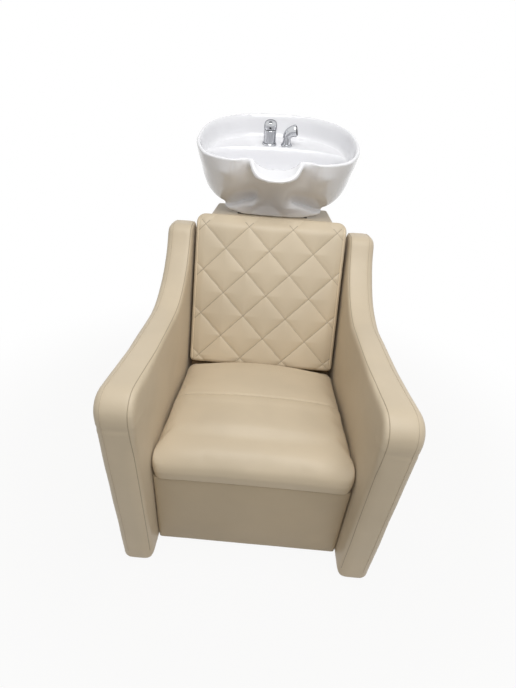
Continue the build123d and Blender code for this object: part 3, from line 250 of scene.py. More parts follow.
def leatherette(name, colour, tone=1.0):
    """Leatherette of a colour made lighter or darker: clouds, pebbled grain and soft handling marks."""
    colour = tuple(part * tone for part in colour)
    finish = Finish(name, colour, 0.45)
    finish.vary_colour(finish.noise(5, 4), shade(colour, 0.94), shade(colour, 1.05))
    finish.vary_roughness(finish.noise(11, 3), 0.38, 0.54)
    finish.bump(finish.noise(26, 3), 0.12, 0.0012)
    finish.bump(finish.pebbles(1 / upholstery().grain_size), 0.22, 0.0003)
    set_inputs(finish.shader, {"Specular IOR Level": 0.4, "Sheen Weight": 0.08, "Sheen Roughness": 0.4})
    return finish.material


def glaze():
    """White fired glaze: glassy coat over a faintly wavy body."""
    colour = basin().glaze_colour
    finish = Finish("glaze", colour, 0.14)
    finish.vary_colour(finish.noise(7, 2), shade(colour, 0.985), shade(colour, 1.0))
    finish.vary_roughness(finish.noise(18, 3), 0.1, 0.2)
    finish.bump(finish.noise(14, 1), 0.05, 0.001)
    set_inputs(finish.shader, {"Coat Weight": 0.6, "Coat Roughness": 0.05})
    return finish.material


def chrome():
    """Polished chrome with faint wipe marks, and a dark specular tint that paints dark reflections along its
    edges.
    """
    finish = Finish("chrome", basin().chrome_colour, 0.08, 1.0)
    # The dark specular tint darkens the chrome's grazing reflections: painted dark reflection.
    finish.shader.inputs["Specular Tint"].default_value = (0.16, 0.16, 0.18, 1)
    finish.vary_roughness(finish.noise(60, 4), 0.04, 0.14)
    finish.bump(finish.noise(220, 2), 0.02, 0.0001)
    return finish.material


def metal(name, colour, roughness):
    """Bare or plated metal with drawn streaks."""
    finish = Finish(name, colour, roughness, 1.0)
    streaks = finish.noise(300, 3, finish.stretched((0.06, 1.0, 1.0)))
    finish.vary_colour(finish.noise(45, 3), shade(colour, 0.85), shade(colour, 1.0))
    finish.vary_roughness(streaks, roughness - 0.1, roughness + 0.12)
    finish.bump(streaks, 0.06, 0.0001)
    return finish.material


def powder_coat():
    """Black powder coat with its fine orange peel."""
    finish = Finish("powder_coat", (0.022, 0.022, 0.024), 0.42)
    finish.vary_roughness(finish.noise(30, 3), 0.34, 0.52)
    finish.bump(finish.noise(900, 2), 0.2, 0.0002)
    return finish.material


def moulded(name, colour, roughness, grain):
    """Moulded plastic or rubber with a fine spark-eroded grain."""
    finish = Finish(name, colour, roughness)
    finish.vary_colour(finish.noise(20, 3), shade(colour, 0.85), shade(colour, 1.12))
    finish.vary_roughness(finish.noise(80, 2), roughness - 0.06, roughness + 0.08)
    finish.bump(finish.noise(1400, 1), grain, 0.0001)
    return finish.material


def wood(name, colour, stretch):
    """Bare wood, its grain drawn out along one axis."""
    finish = Finish(name, colour, 0.62)
    grain = finish.noise(90, 6, finish.stretched(stretch))
    finish.vary_colour(grain, shade(colour, 0.72), shade(colour, 1.12))
    finish.vary_roughness(finish.noise(40, 2), 0.55, 0.75)
    finish.bump(grain, 0.18, 0.0004)
    return finish.material


def make_materials():
    """One material for each of the record's slots, by the slot's name."""
    leather = upholstery().leather_colour
    return {
        "upholstery": leatherette("leatherette", leather),
        "panel_upholstery": leatherette("panel_leatherette", upholstery().panel_colour),
        "door_laminate": leatherette("door_leatherette", leather, 0.95),
        "plywood": wood("plywood", (0.5, 0.34, 0.19), (1.0, 0.1, 1.0)),
        "timber": wood("timber", (0.52, 0.35, 0.19), (0.08, 1.0, 1.0)),
        "ceramic": glaze(),
        "chrome": chrome(),
        "steel": powder_coat(),
        "zinc": metal("zinc_plate", (0.62, 0.62, 0.6), 0.36),
        "brass": metal("raw_brass", (0.68, 0.5, 0.24), 0.34),
        "copper": metal("drawn_copper", (0.72, 0.38, 0.24), 0.3),
        "black_plastic": moulded("black_plastic", (0.022, 0.022, 0.024), 0.46, 0.1),
        "index_plastic": moulded("index_plug", (0.05, 0.05, 0.055), 0.3, 0.03),
        "rubber": moulded("rubber", (0.018, 0.018, 0.018), 0.7, 0.15),
    }


def make_seam_shade_and_highlight_finishes():
    """One material for each kind of sewn seam, by its place: darker copies of the leatherette paint the shade
    in the seams' grooves, a lighter copy paints the highlight on the back's welts.
    """
    leather = upholstery().leather_colour
    return {
        # Inner seams: darker than the leatherette, painted shade in their grooves.
        "inner": leatherette("inner_seams_groove_shade", upholstery().seam_groove_shade_colour),
        # Outer seams: a darker copy of the leatherette, painted shade in their grooves.
        "outer": leatherette("outer_seams_groove_shade", leather, 0.85),
        # Back welts: a lighter copy of the leatherette, painted highlight.
        "back": leatherette("back_seam_highlight", leather, 1.3),
        # Quilting threads: a darker copy of the leatherette, painted shade in the quilt's grooves.
        "quilt": leatherette("quilt_groove_shade_thread", leather, 0.66),
    }


materials = {}
seam_shade_and_highlight_finishes = {}


# Pieces
def linked(name, data):
    """A new object of some data, in the scene."""
    thing = bpy.data.objects.new(name, data)
    bpy.context.scene.collection.objects.link(thing)
    return thing


def mesh_of(bm, name):
    """A new mesh of a shape, which is freed."""
    mesh = bpy.data.meshes.new(name)
    bm.to_mesh(mesh)
    bm.free()
    return mesh


def shape_of(mesh):
    """A new shape of a mesh."""
    bm = bmesh.new()
    bm.from_mesh(mesh)
    return bm


def finished_mesh(holder):
    """A new mesh of an object with what its modifiers or its bevel make of it."""
    return bpy.data.meshes.new_from_object(holder.evaluated_get(bpy.context.evaluated_depsgraph_get()))


def add_piece(name, bm, slot, body, replaced=(), sharp_angle=None):
    """A finished mesh as a piece: shaded smooth, with its slot's material, riding on its body."""
    mesh = mesh_of(bm, name)
    mesh.materials.append(materials[slot])
    mesh.shade_smooth()
    piece = linked(name, mesh)
    if sharp_angle is not None:
        mesh.set_sharp_from_angle(angle=sharp_angle)
        flat = piece.modifiers.new("Flat faces", "WEIGHTED_NORMAL")
        flat.keep_sharp = True
    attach(piece, body)
    if replaced:
        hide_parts(*replaced)
    return piece


def add_seam(name, routes, radius, tone):
    """Thin sewn seams: round tubes along routes, in a tone of their own that is painted groove shade for the
    darker seams and painted highlight for the lighter welts.
    """
    curve = bpy.data.curves.new(name, "CURVE")
    curve.dimensions = "3D"
    curve.bevel_depth = radius
    curve.bevel_resolution = 2
    curve.use_fill_caps = True
    for route in routes:
        spline = curve.splines.new("POLY")
        spline.points.add(len(route) - 1)
        for point, place in zip(spline.points, route):
            point.co = (*place, 1)
    holder = linked(name, curve)
    mesh = finished_mesh(holder)
    bpy.data.objects.remove(holder)
    bm = shape_of(mesh)
    bpy.data.meshes.remove(mesh)
    seam = add_piece(name, bm, "upholstery", "chair")
    # The seam's tone paints light: shade in the grooves for darker seams, highlight for the lighter welts.
    seam.data.materials[0] = seam_shade_and_highlight_finishes[tone]


def merged_copy(node):
    """A copy of a frame node's mesh with its loose corners joined."""
    bm = shape_of(frame["nodes"][node].data)
    bmesh.ops.remove_doubles(bm, verts=bm.verts, dist=0.01 * MM)
    return bm


def remeshed(bm, size):
    """The same closed shape in even small quads."""
    mesh = mesh_of(bm, "shape")
    holder = linked("shape", mesh)
    remesh = holder.modifiers.new("Even quads", "REMESH")
    remesh.mode = "VOXEL"
    remesh.voxel_size = size
    even = finished_mesh(holder)
    result = shape_of(even)
    bpy.data.objects.remove(holder)
    bpy.data.meshes.remove(mesh)
    bpy.data.meshes.remove(even)
    return result


def relax(bm, rounds, verts=None):
    """Rounds of smoothing over all corners, or over some."""
    for _ in range(rounds):
        bmesh.ops.smooth_vert(
            bm, verts=bm.verts if verts is None else verts, factor=0.5,
            use_axis_x=True, use_axis_y=True, use_axis_z=True,
        )


def push_out(bm, amount):
    """Moves each corner along its normal by what amount(place, normal) says."""
    bm.normal_update()
    moves = [(vert, vert.normal * amount(vert.co, vert.normal)) for vert in bm.verts]
    for vert, move in moves:
        vert.co += move


def smooth_step(value):
    """0 below 0, 1 above 1, and a smooth rise between."""
    value = max(0.0, min(1.0, value))
    return value * value * (3 - 2 * value)


def fade(value, start, end):
    """0 at a start, 1 at an end, both in millimetres, and a smooth rise between."""
    return smooth_step((value / MM - start) / (end - start))


def valley(distance, width):
    """1 on a line and 0 away from it, as a soft valley of a half-width."""
    return exp(-((distance / width) ** 2))


def pull_to_round(across, along, radius):
    """How far a point outside a corner's round lies out, as a factor towards the round's centre."""
    away = sqrt(across * across + along * along)
    return radius / away if across > 0 and along > 0 and away > radius else 1.0


# Arms
ARM_CORNER_SHARES = (
    (0.083, 0.0, 0.0),
    (-0.012, 0.769, 55 * MM),
    (0.297, 0.745, 600 * MM),
    (0.763, 0.746, 290 * MM),
    (0.887, 1.0, 40 * MM),
    (1.0, 1.0, 26 * MM),
    (1.0, 0.0, 0.0),
)
ARM_DEPTH = 821 * MM
ARM_INNER_ROUND = 9 * MM
ARM_OUTER_ROUND = 22 * MM
ARM_UNDER_NOSE = 0.66


def round_corner(bm, vert, radius):
    """Rounds one corner of a flat outline."""
    arms = [(edge.other_vert(vert).co - vert.co).normalized() for edge in vert.link_edges]
    half_turn = (pi - acos(max(-1.0, min(1.0, arms[0].dot(arms[1]))))) / 2
    bmesh.ops.bevel(
        bm, geom=[vert], offset=radius * tan(half_turn), offset_type="OFFSET",
        segments=12, profile=0.5, affect="VERTICES", material=-1, clamp_overlap=False,
    )


def arm_sides(side, node):
    """An arm's box, with its widths on the seat's side and on the outside."""
    low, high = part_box(node)
    return (low, high, low.x, high.x) if side > 0 else (low, high, high.x, low.x)


def arm_outline(x, low, high):
    """Side outline of an arm as one flat face at a width."""
    bm = bmesh.new()
    rear = high.y
    front = rear - ARM_DEPTH
    corners = []
    for depth_share, height_share, radius in ARM_CORNER_SHARES:
        place = (x, front + ARM_DEPTH * depth_share, low.z + (high.z - low.z) * height_share)
        corners.append((bm.verts.new(place), radius))
    bm.faces.new([vert for vert, _ in corners])
    for vert, radius in corners:
        if radius:
            round_corner(bm, vert, radius)
    return bm


def arm_padding(side, node):
    """Padded arm before its seams: outline, thickness, rounded rims and feet, crown and soft cheeks."""
    low, high, inner, outer = arm_sides(side, node)
    bm = arm_outline(inner, low, high)
    shell = bmesh.ops.extrude_face_region(bm, geom=bm.faces[:])
    moved = [part for part in shell["geom"] if isinstance(part, bmesh.types.BMVert)]
    bmesh.ops.translate(bm, verts=moved, vec=(outer - inner, 0, 0))
    bmesh.ops.recalc_face_normals(bm, faces=bm.faces)
    for x, radius in ((outer, ARM_OUTER_ROUND), (inner, ARM_INNER_ROUND)):
        rim = [e for e in bm.edges if all(abs(v.co.x - x) < 0.1 * MM for v in e.verts)]
        rim = [e for e in rim if max(v.co.z for v in e.verts) > low.z + 0.1 * MM]
        bmesh.ops.bevel(
            bm, geom=rim, offset=radius, offset_type="OFFSET", segments=6, profile=0.5,
            affect="EDGES", material=-1, clamp_overlap=True,
        )
    bm = remeshed(bm, upholstery().remesh_size)
    soften_front(bm, side, inner, low, high)
    relax(bm, 4)
    middle = (inner + outer) / 2
    half = abs(outer - inner) / 2

    def pad(place, normal):
        share = abs(place.x - middle) / half
        strip = (1 - share * share) * (1 - abs(normal.x)) * upholstery().arm_crown
        foot = fade(place.z - low.z, 0, 40)
        wave = noise.noise(place * 9) * 1.2 * MM
        under_nose = place.z - (low.z + ARM_UNDER_NOSE * (high.z - low.z))
        pinch = valley(under_nose, 22 * MM) * fade(place.y - low.y, 100, 50)
        folds = noise.noise(Vector((place.x * 12, 0, place.z * 70))) * 1.6 * MM * pinch
        return (strip + wave + folds) * foot

    push_out(bm, pad)
    return bm


def soften_front(bm, side, inner, low, high):
    """Rounds the front's inner edge under the nose, and swells the nose towards the seat."""
    tall = high.z - low.z
    (foot_share, _, _), (nose_share, nose_height, _) = ARM_CORNER_SHARES[:2]
    for vert in bm.verts:
        x, y, z = vert.co
        share = foot_share + (nose_share - foot_share) * (z - low.z) / (nose_height * tall)
        front = high.y - ARM_DEPTH + ARM_DEPTH * share
        radius = ARM_INNER_ROUND + 15 * MM * smooth_step((low.z + ARM_UNDER_NOSE * tall - z) / (0.1 * tall))
        beside, behind = radius - abs(x - inner), radius - (y - front)
        pull = pull_to_round(beside, behind, radius)
        if pull < 1:
            x, y = inner + side * (radius - beside * pull), front + radius - behind * pull
        swell = valley(y + 0.54, 0.13) * valley(z - 0.55, 0.075) * fade(abs(x - inner), 60, 0)
        vert.co = (x - side * 9 * MM * swell, y, z)


def seam_route(tree, x, low, high):
    """Places round an arm's side outline at a width, each set on the skin, evened out."""
    outline = arm_outline(x, low, high)
    face = outline.faces[:][0]
    places = [vert.co.copy() for vert in face.verts]
    face.normal_update()
    way = 1 if face.normal.x > 0 else -1
    outline.free()
    start = min(range(len(places)), key=lambda i: (round(places[i].z / (5 * MM)), places[i].y))
    places = places[start:] + places[:start]
    if places[1].z < places[-1].z:
        places, way = [places[0]] + places[:0:-1], -way
    route = []
    for a, b in zip(places, places[1:]):
        along = (b - a).normalized()
        out = Vector((0, along.z, -along.y)) * way
        steps = max(1, int((b - a).length / (9 * MM)))
        for step in range(steps):
            found = tree.ray_cast(a.lerp(b, step / steps) + out * 25 * MM, -out, 60 * MM)[0]
            if found is not None:
                route.append(found)
    for _ in range(4):
        evened = [(p + 2 * q + r) / 4 for p, q, r in zip(route, route[1:], route[2:])]
        route = route[:1] + evened + route[-1:]
    return [tree.find_nearest(place)[0] for place in route if place.z > low.z + 30 * MM]


def add_arm_seams(arm, name, side, node):
    """Seams along both rims of an arm, laid on its skin."""
    low, high, inner, outer = arm_sides(side, node)
    skin = shape_of(arm.data)
    tree = BVHTree.FromBMesh(skin)
    for rim, x in (("inner", inner + side * 6 * MM), ("outer", outer - side * 20 * MM)):
        route = seam_route(tree, x, low, high)
        # The seams' darker tones paint the shade in their grooves.
        add_seam(f"{name}_arm_{rim}_seam", [route], upholstery().seam_radius, rim)
    skin.free()


class ArmUpholstery(Operator):
    """Builds the two padded arms with their seams"""

    bl_idname = "chair.arms"
    bl_label = "Arms"

    def execute(self, context):
        for side, name in ((-1, "left"), (1, "right")):
            node = f"{name}_arm_cover"
            bm = arm_padding(side, node)
            arm = add_piece(f"{name}_arm_padding", bm, "upholstery", "chair", (node,))
            add_arm_seams(arm, name, side, node)
        return {"FINISHED"}


# Seat, back and front panel
def fine_block(low, high, cell):
    """A closed block of small square faces between two corners."""
    bm = bmesh.new()
    bmesh.ops.create_cube(bm, size=1)
    size = high - low
    for axis in range(3):
        edges = [e for e in bm.edges if abs(e.verts[0].co[axis] - e.verts[1].co[axis]) > 0.5]
        bmesh.ops.subdivide_edges(bm, edges=edges, cuts=max(1, round(size[axis] / cell)), use_grid_fill=True)
    bmesh.ops.scale(bm, vec=size, verts=bm.verts)
    bmesh.ops.translate(bm, vec=(low + high) / 2, verts=bm.verts)
    return bm


def round_block(bm, low, high, radius):
    """Rounds a fine block's edges and corners."""
    for vert in bm.verts:
        core = Vector([min(max(vert.co[i], low[i] + radius), high[i] - radius) for i in range(3)])
        away = vert.co - core
        if away.length > 0:
            vert.co = core + away * (radius / max(away.length, radius))


class FrontPanelUpholstery(Operator):
    """Builds the panel under the seat"""

    bl_idname = "chair.front_panel"
    bl_label = "Front panel"

    def execute(self, context):
        bm = remeshed(merged_copy("front_panel"), 4 * MM)
        relax(bm, 4)
        low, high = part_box("front_panel")

        def pad(place, normal):
            edge = min(place.x - low.x, high.x - place.x, place.z - low.z, high.z - place.z)
            swell = fade(edge, 0, 90) * 3 * MM if normal.y < -0.7 else 0
            return swell + noise.noise(place * 8) * MM

        push_out(bm, pad)
        for vert in bm.verts:
            vert.co.z = min(vert.co.z + 5 * MM * fade(vert.co.z - high.z, -16, -2), high.z)
        panel = add_piece("front_panel_padding", bm, "panel_upholstery", "chair", ("front_panel",))
        return {"FINISHED"}


def inflated(bm, pressure, cap):
    """The same skin swelled by its filling, with no corner moved further than the cap."""
    mesh = mesh_of(bm.copy(), "skin")
    holder = linked("skin", mesh)
    scene = bpy.context.scene
    cloth = holder.modifiers.new("Filling", "CLOTH")
    cloth.settings.quality = 5
    cloth.settings.use_pressure = True
    cloth.settings.uniform_pressure_force = pressure
    cloth.settings.effector_weights.gravity = 0
    cloth.collision_settings.use_collision = False
    for step in range(1, 21):
        scene.frame_set(step)
    swelled = holder.evaluated_get(bpy.context.evaluated_depsgraph_get()).data
    for vert, after in zip(bm.verts, swelled.vertices):
        move = after.co - vert.co
        vert.co += move * min(1.0, cap / max(move.length, 0.001 * MM))
    scene.frame_set(1)
    bpy.data.objects.remove(holder)
    bpy.data.meshes.remove(mesh)


SEAT_SLOPE = 0.0901
SEAT_TOP_SLOPE = 0.085
NOSE_REACH = 120 * MM
NOSE_LOW, NOSE_HIGH, NOSE_LEAN = 4 * MM, 28 * MM, 0.22


def shape_seat(bm, low, high):
    """Full nose, rounded rear corners and a crown that is highest towards the back."""
    half, rear = high.x, high.y - 14 * MM
    nose_long, nose_high, corner = 92 * MM, 62 * MM, 48 * MM
    for vert in bm.verts:
        x, y, z = vert.co
        top = high.z - 4 * MM - (y - low.y) * SEAT_TOP_SLOPE
        rise = 10 * MM * (1 - (x / half) ** 2) * fade(y, -5, -25)
        z += rise * fade(y - low.y, 0, 160) * fade(z - top, -60, -10)
        ahead, over = low.y + nose_long - y, z - top + nose_high
        pull = pull_to_round(ahead * nose_high / nose_long, over, nose_high)
        if pull < 1:
            y, z = low.y + nose_long - ahead * pull, top - nose_high + over * pull
        beyond, behind = abs(x) - (half - corner), y - (rear - corner)
        pull = pull_to_round(beyond, behind, corner)
        if pull < 1:
            x = (half - corner + beyond * pull) * (1 if x > 0 else -1)
            y = rear - corner + behind * pull
        vert.co = (x, y, z)


def crease_seat(bm, high):
    """The sewn crease across the seat with its small puckers, and the steeper crown behind it."""
    crease = upholstery().crease_place

    def fold(place, normal):
        line = place.y - crease - 14 * MM * (place.x / high.x) ** 2
        upper = smooth_step((normal.z - 0.1) / 0.5)
        crown = 15 * MM * (1 - (place.x / high.x) ** 2) * min(1, max(0, line) / 0.17) * fade(place.y, -6, -28)
        ends = fade(high.x - abs(place.x), 0, 30)
        puckers = noise.noise(Vector((place.x * 55, place.y * 12, 0))) * 0.8 * MM * valley(line, 20 * MM)
        swell = 2.5 * MM * valley(line + 26 * MM, 20 * MM)
        sag = noise.noise(Vector((place.x * 6, place.y * 7, 4))) * 1.6 * MM
        groove = 3.2 * MM * valley(line + 2 * MM, 3.6 * MM)
        return upper * (crown + (swell + puckers - groove) * ends + sag)

    push_out(bm, fold)


def fill_seat(bm, low, high):
    """Presses the cushion's sides against the arms and its underside down on the seat board."""
    for vert in bm.verts:
        x, y, z = vert.co
        out = abs(x) + 8 * MM * fade(abs(x), 150, 250)
        floor = low.z + (high.y - y) * SEAT_SLOPE + 0.5 * MM
        down = z - 9 * MM * fade(z - floor, 44, 0)
        vert.co = (min(out, high.x) * (1 if x > 0 else -1), y, max(down, floor))


def hang_nose(bm, low, high):
    """Draws the front face of the nose forward, so that it hangs a little over the panel."""
    tree = BVHTree.FromBMesh(bm)
    floor = low.z + (high.y - low.y) * SEAT_SLOPE
    for vert in bm.verts:
        x, y, z = vert.co
        if y > low.y + NOSE_REACH:
            continue
        over = min(max(z - floor, NOSE_LOW), NOSE_HIGH)
        found = tree.ray_cast(Vector((x * 0.97, low.y - 0.1, floor + over)), Vector((0, 1, 0)))[0]
        if found is None:
            continue
        face = low.y - 3 * MM - NOSE_LEAN * over - 4 * MM * (x / high.x) ** 2
        vert.co.y -= max(0, found.y - face) * fade(y - low.y, 120, 10)


class SeatUpholstery(Operator):
    """Builds the crowned seat cushion with its sewn crease"""

    bl_idname = "chair.seat"
    bl_label = "Seat"

    def execute(self, context):
        low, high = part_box("seat_cushion")
        bm = remeshed(merged_copy("seat_cushion"), upholstery().remesh_size)
        shape_seat(bm, low, high)
        relax(bm, 6)
        push_out(bm, lambda place, normal: -4 * MM)
        inflated(bm, 4.0, upholstery().seat_swell)
        relax(bm, 8)
        bmesh.ops.subdivide_edges(bm, edges=bm.edges, cuts=1, use_grid_fill=True, smooth=0)
        relax(bm, 3)
        crease_seat(bm, high)
        fill_seat(bm, low, high)
        hang_nose(bm, low, high)
        relax(bm, 3)
        seat = add_piece("seat_padding", bm, "upholstery", "chair", ("seat_cushion",))
        return {"FINISHED"}


BACK_HALF = 252 * MM
BACK_BELOW = -9 * MM
BACK_ABOVE = 500 * MM
BACK_BORDER = 9 * MM
BACK_CORNER = 30 * MM
BACK_FOOT = (0, -2 * MM, 352 * MM)


def quilt_height(x, up):
    """Height of the quilted face over its plane: crown, diamonds, stitched lines, border and rolled top."""
    settings = upholstery()
    crown = 12 * MM * (1 - (x / BACK_HALF) ** 2) * (1 - 0.6 * ((up - 0.245) / 0.255) ** 2)
    across, along = x / settings.quilt_width, (up - settings.quilt_centre) / settings.quilt_height
    spacing = 1 / sqrt(settings.quilt_width ** -2 + settings.quilt_height ** -2)
    lines = min(abs(share - round(share)) for share in (across + along, across - along)) * spacing
    edge = BACK_HALF - abs(x) - BACK_BORDER
    puff = settings.quilt_puff * (1 - exp(-((lines / (20 * MM)) ** 1.4))) * (0.45 + 0.55 * fade(edge, 0, 22))
    pull = 1 + 0.5 * noise.noise(Vector((x * 60, up * 60, 1)))
    groove = -2.3 * MM * valley(lines, 2.1 * MM) * fade(edge, -1, 4) * pull
    seam = -2.2 * MM * valley(edge, 2.6 * MM)
    roll = -22 * MM * fade(up - BACK_ABOVE, -60, 0) ** 2
    return crown + puff + groove + seam + roll


def back_place():
    """Turns the back's own frame, with up along its face and out in front, into the chair's."""
    turn = Matrix.Rotation(radians(90) - upholstery().recline, 4, "X")
    return Matrix.Translation(BACK_FOOT) @ turn


def on_back(x, up, over):
    """A place on the quilted face, a little over it."""
    return back_place() @ Vector((x, up, quilt_height(x, up) + over))


def border_routes():
    """The welts up both sides of the back."""
    x = BACK_HALF - BACK_BORDER
    return [
        [on_back(side * x, 0.002 + 0.476 * step / 100, 0.5 * MM) for step in range(101)]
        for side in (-1, 1)
    ]


def quilt_routes():
    """The stitched lines of the quilting, from border to border."""
    settings = upholstery()
    routes = []
    for way in (1, -1):
        for index in range(-6, 7):
            route = []
            for step in range(161):
                x = (2 * step / 160 - 1) * (BACK_HALF - BACK_BORDER - 3 * MM)
                up = settings.quilt_centre + settings.quilt_height * (index - way * x / settings.quilt_width)
                if 4 * MM < up < BACK_ABOVE - 22 * MM:
                    route.append(on_back(x, up, -1.1 * MM))
            if len(route) > 4:
                routes.append(route)
    return routes


class BackUpholstery(Operator):
    """Builds the quilted back cushion with its border welts, in a lighter tone that paints their highlight,
    and its quilting threads, in a darker tone that paints the shade in the quilt's grooves
    """

    bl_idname = "chair.back"
    bl_label = "Quilted back"

    def execute(self, context):
        block_low = Vector((-BACK_HALF, BACK_BELOW, -75 * MM))
        block_high = Vector((BACK_HALF, BACK_ABOVE, 0))
        bm = fine_block(block_low, block_high, 3.2 * MM)
        round_block(bm, block_low, block_high, 13 * MM)
        for vert in bm.verts:
            beside, above = abs(vert.co.x) - BACK_HALF + BACK_CORNER, vert.co.y - BACK_ABOVE + BACK_CORNER
            pull = pull_to_round(beside, above, BACK_CORNER)
            if pull < 1:
                vert.co.x = (BACK_HALF - BACK_CORNER + beside * pull) * (1 if vert.co.x > 0 else -1)
                vert.co.y = BACK_ABOVE - BACK_CORNER + above * pull
            vert.co.z += quilt_height(vert.co.x, vert.co.y) * fade(vert.co.z, -42, 0)
        bmesh.ops.transform(bm, matrix=back_place(), verts=bm.verts)
        bmesh.ops.recalc_face_normals(bm, faces=bm.faces)
        back = add_piece("back_quilting", bm, "upholstery", "chair", ("back_cushion",))
        # Border welts in a lighter copy of the leatherette: painted highlight.
        add_seam("back_border_seams_painted_highlight", border_routes(), 1.3 * MM, "back")
        # Quilting threads in a darker copy of the leatherette, sunk in the grooves: painted groove shade.
        add_seam("quilt_groove_shade_threads", quilt_routes(), 2.3 * MM, "quilt")
        return {"FINISHED"}


# Basin and its fittings
LIP_LOW, LIP_HIGH = 162 * MM, 203 * MM
DECK = 146 * MM
BASIN_HINGE = (0, 283 * MM, 824 * MM)
MIXER_PLACE = (-32 * MM, 257 * MM)
SHOWER_PLACE = (33 * MM, 257 * MM)
FOOT_HALF_WIDTHS = (
    (-7, 152), (3, 164), (14, 138), (30, 100), (45, 66), (60, 52), (90, 55), (120, 66), (150, 84),
)
FOOT_FRONTS = ((-7, -36), (8, -39), (30, -49), (56, -60), (80, -72), (146, -114))
CHEEK_HOLLOWS = ((-7, 62), (18, 60), (35, 50), (56, 36), (75, 20), (96, 8), (122, 0))
CHEEK_LOW, CHEEK_TOP, CHEEK_SLOPE = 0.845, 0.965, 0.2
CHEEK_SWELLS = ((-7, 0), (18, 0.05), (56, 0.045), (96, 0.028), (131, 0))
TILT_SIN, TILT_COS = 0.242, 0.97


def between(table, height):
    """Value of a table of heights and values, in millimetres, at a height in metres."""
    level = height / MM
    if level <= table[0][0]:
        return table[0][1]
    for (low, first), (high, second) in zip(table, table[1:]):
        if level <= high:
            return first + (second - first) * (level - low) / (high - low)
    return table[-1][1]


def basin_place():
    """Turns the basin's own frame, level and measured from its hinge, into the chair's."""
    return Matrix.Translation(BASIN_HINGE) @ Matrix.Rotation(basin().basin_tilt, 4, "X")


def foot_front(across, height):
    """Front of the flared foot and the column over it, or None beside them."""
    half = between(FOOT_HALF_WIDTHS, height) * MM
    share = abs(across) / half
    if share >= 1:
        return None
    lens = fade(height, 50, 10)
    depth = lens * share ** 2 + (1 - lens) * (1 - sqrt(1 - share ** 2))
    return between(FOOT_FRONTS, height) * MM + 34 * MM * depth


def hollow_front(bm):
    """Draws the bowl's lower front back, so that the foot and its column stand out under the neck rest."""
    tree = BVHTree.FromBMesh(bm)
    for vert in bm.verts:
        across, along, height = vert.co
        if height > 135 * MM or abs(across) > 235 * MM:
            continue
        found = tree.ray_cast(Vector((across, -0.3, height)), Vector((0, 1, 0)))[0]
        if found is None:
            continue
        target = found.y + between(CHEEK_HOLLOWS, height) * MM * fade(abs(across), 205, 90)
        column = foot_front(across, height)
        if column is not None:
            target = min(target, column)
        push = target - found.y
        if push <= 0:
            continue
        reach = max(90 * MM, 1.7 * push)
        vert.co.y += push * smooth_step((found.y + reach - along) / reach)


def shape_basin(bm):
    """Narrow neck rest, blunt shoulders, full cheeks and an underside that rises beside the foot."""
    for vert in bm.verts:
        across, along, height = vert.co
        near = fade(abs(across), 205, 120) * fade(along, 30, -50) * fade(height, 118, 162)
        rise = max(0.0, min(1.0, (height - LIP_LOW) / (LIP_HIGH - LIP_LOW)))
        across *= 1 + (0.24 - 0.38 * rise ** 0.55) * near
        shoulder = fade(abs(across), 98, 140) * fade(abs(across), 284, 234)
        along -= 26 * MM * shoulder * fade(along, 70, -40) * fade(height, 5, 160)
        height += 24 * MM * fade(abs(across), 92, 144) * fade(along, 0, 25) * fade(height, 62, -7)
        across *= 1 + between(CHEEK_SWELLS, height)
        tip = fade(abs(across), 100, 150) * fade(along, 20, 0)
        across *= 1 + 0.06 * tip * fade(height, 15, 5)
        skirt = fade(along, -12, -18) * fade(height, 0, -5)
        floor = (-15 * MM - along * TILT_SIN) / TILT_COS
        height += (min(height, floor) - height) * skirt
        vert.co = (across, along, height)


class GlazedBasin(Operator):
    """Builds the glazed basin with the soft edges of fired clay"""

    bl_idname = "chair.basin"
    bl_label = "Basin"

    def execute(self, context):
        bm = remeshed(merged_copy("basin_bowl"), basin().glaze_size)
        bmesh.ops.transform(bm, matrix=basin_place().inverted(), verts=bm.verts)
        hollow_front(bm)
        shape_basin(bm)
        bmesh.ops.transform(bm, matrix=basin_place(), verts=bm.verts)
        bm = remeshed(bm, basin().glaze_size)
        relax(bm, basin().glaze_rounds)
        inside = basin_place() @ Vector((0, 110 * MM, 150 * MM))
        bm.normal_update()
        facing = {vert: vert.normal.dot((inside - vert.co).normalized()) for vert in bm.verts}
        hollow = [vert for vert, share in facing.items() if share > 0.3]
        cheeks = [
            vert for vert, share in facing.items()
            if share < -0.1 and CHEEK_LOW < vert.co.z < CHEEK_TOP + CHEEK_SLOPE * vert.co.y
        ]
        relax(bm, 30, hollow)
        relax(bm, 45, cheeks)
        add_piece("basin_glaze", bm, "ceramic", "basin", ("basin_bowl",))
        return {"FINISHED"}


SHARP_ANGLE = radians(35)
CAP_RIM, CAP_SIDE = 53.6, 66
BALL_HEIGHT, COLUMN_CLEARANCE = 60.7, 8.5
LIFT_SIN, LIFT_COS = 0.342, 0.94


def ledge_place(place):
    """Turns a fitting's own frame, up from a place on the tap ledge, into the chair's."""
    return basin_place() @ Matrix.Translation((*place, DECK))


def turned(profile, place):
    """A closed turned shape on the tap ledge, from its half-section of radii and heights in millimetres."""
    bm = bmesh.new()
    points = [bm.verts.new((radius * MM, 0, height * MM)) for radius, height in profile]
    line = [bm.edges.new(pair) for pair in zip(points, points[1:])]
    bmesh.ops.spin(
        bm, geom=points + line, cent=(0, 0, 0), axis=(0, 0, 1), angle=2 * pi, steps=48, use_merge=True
    )
    bmesh.ops.remove_doubles(bm, verts=bm.verts, dist=0.01 * MM)
    bmesh.ops.recalc_face_normals(bm, faces=bm.faces)
    bmesh.ops.transform(bm, matrix=ledge_place(place), verts=bm.verts)
    return bm


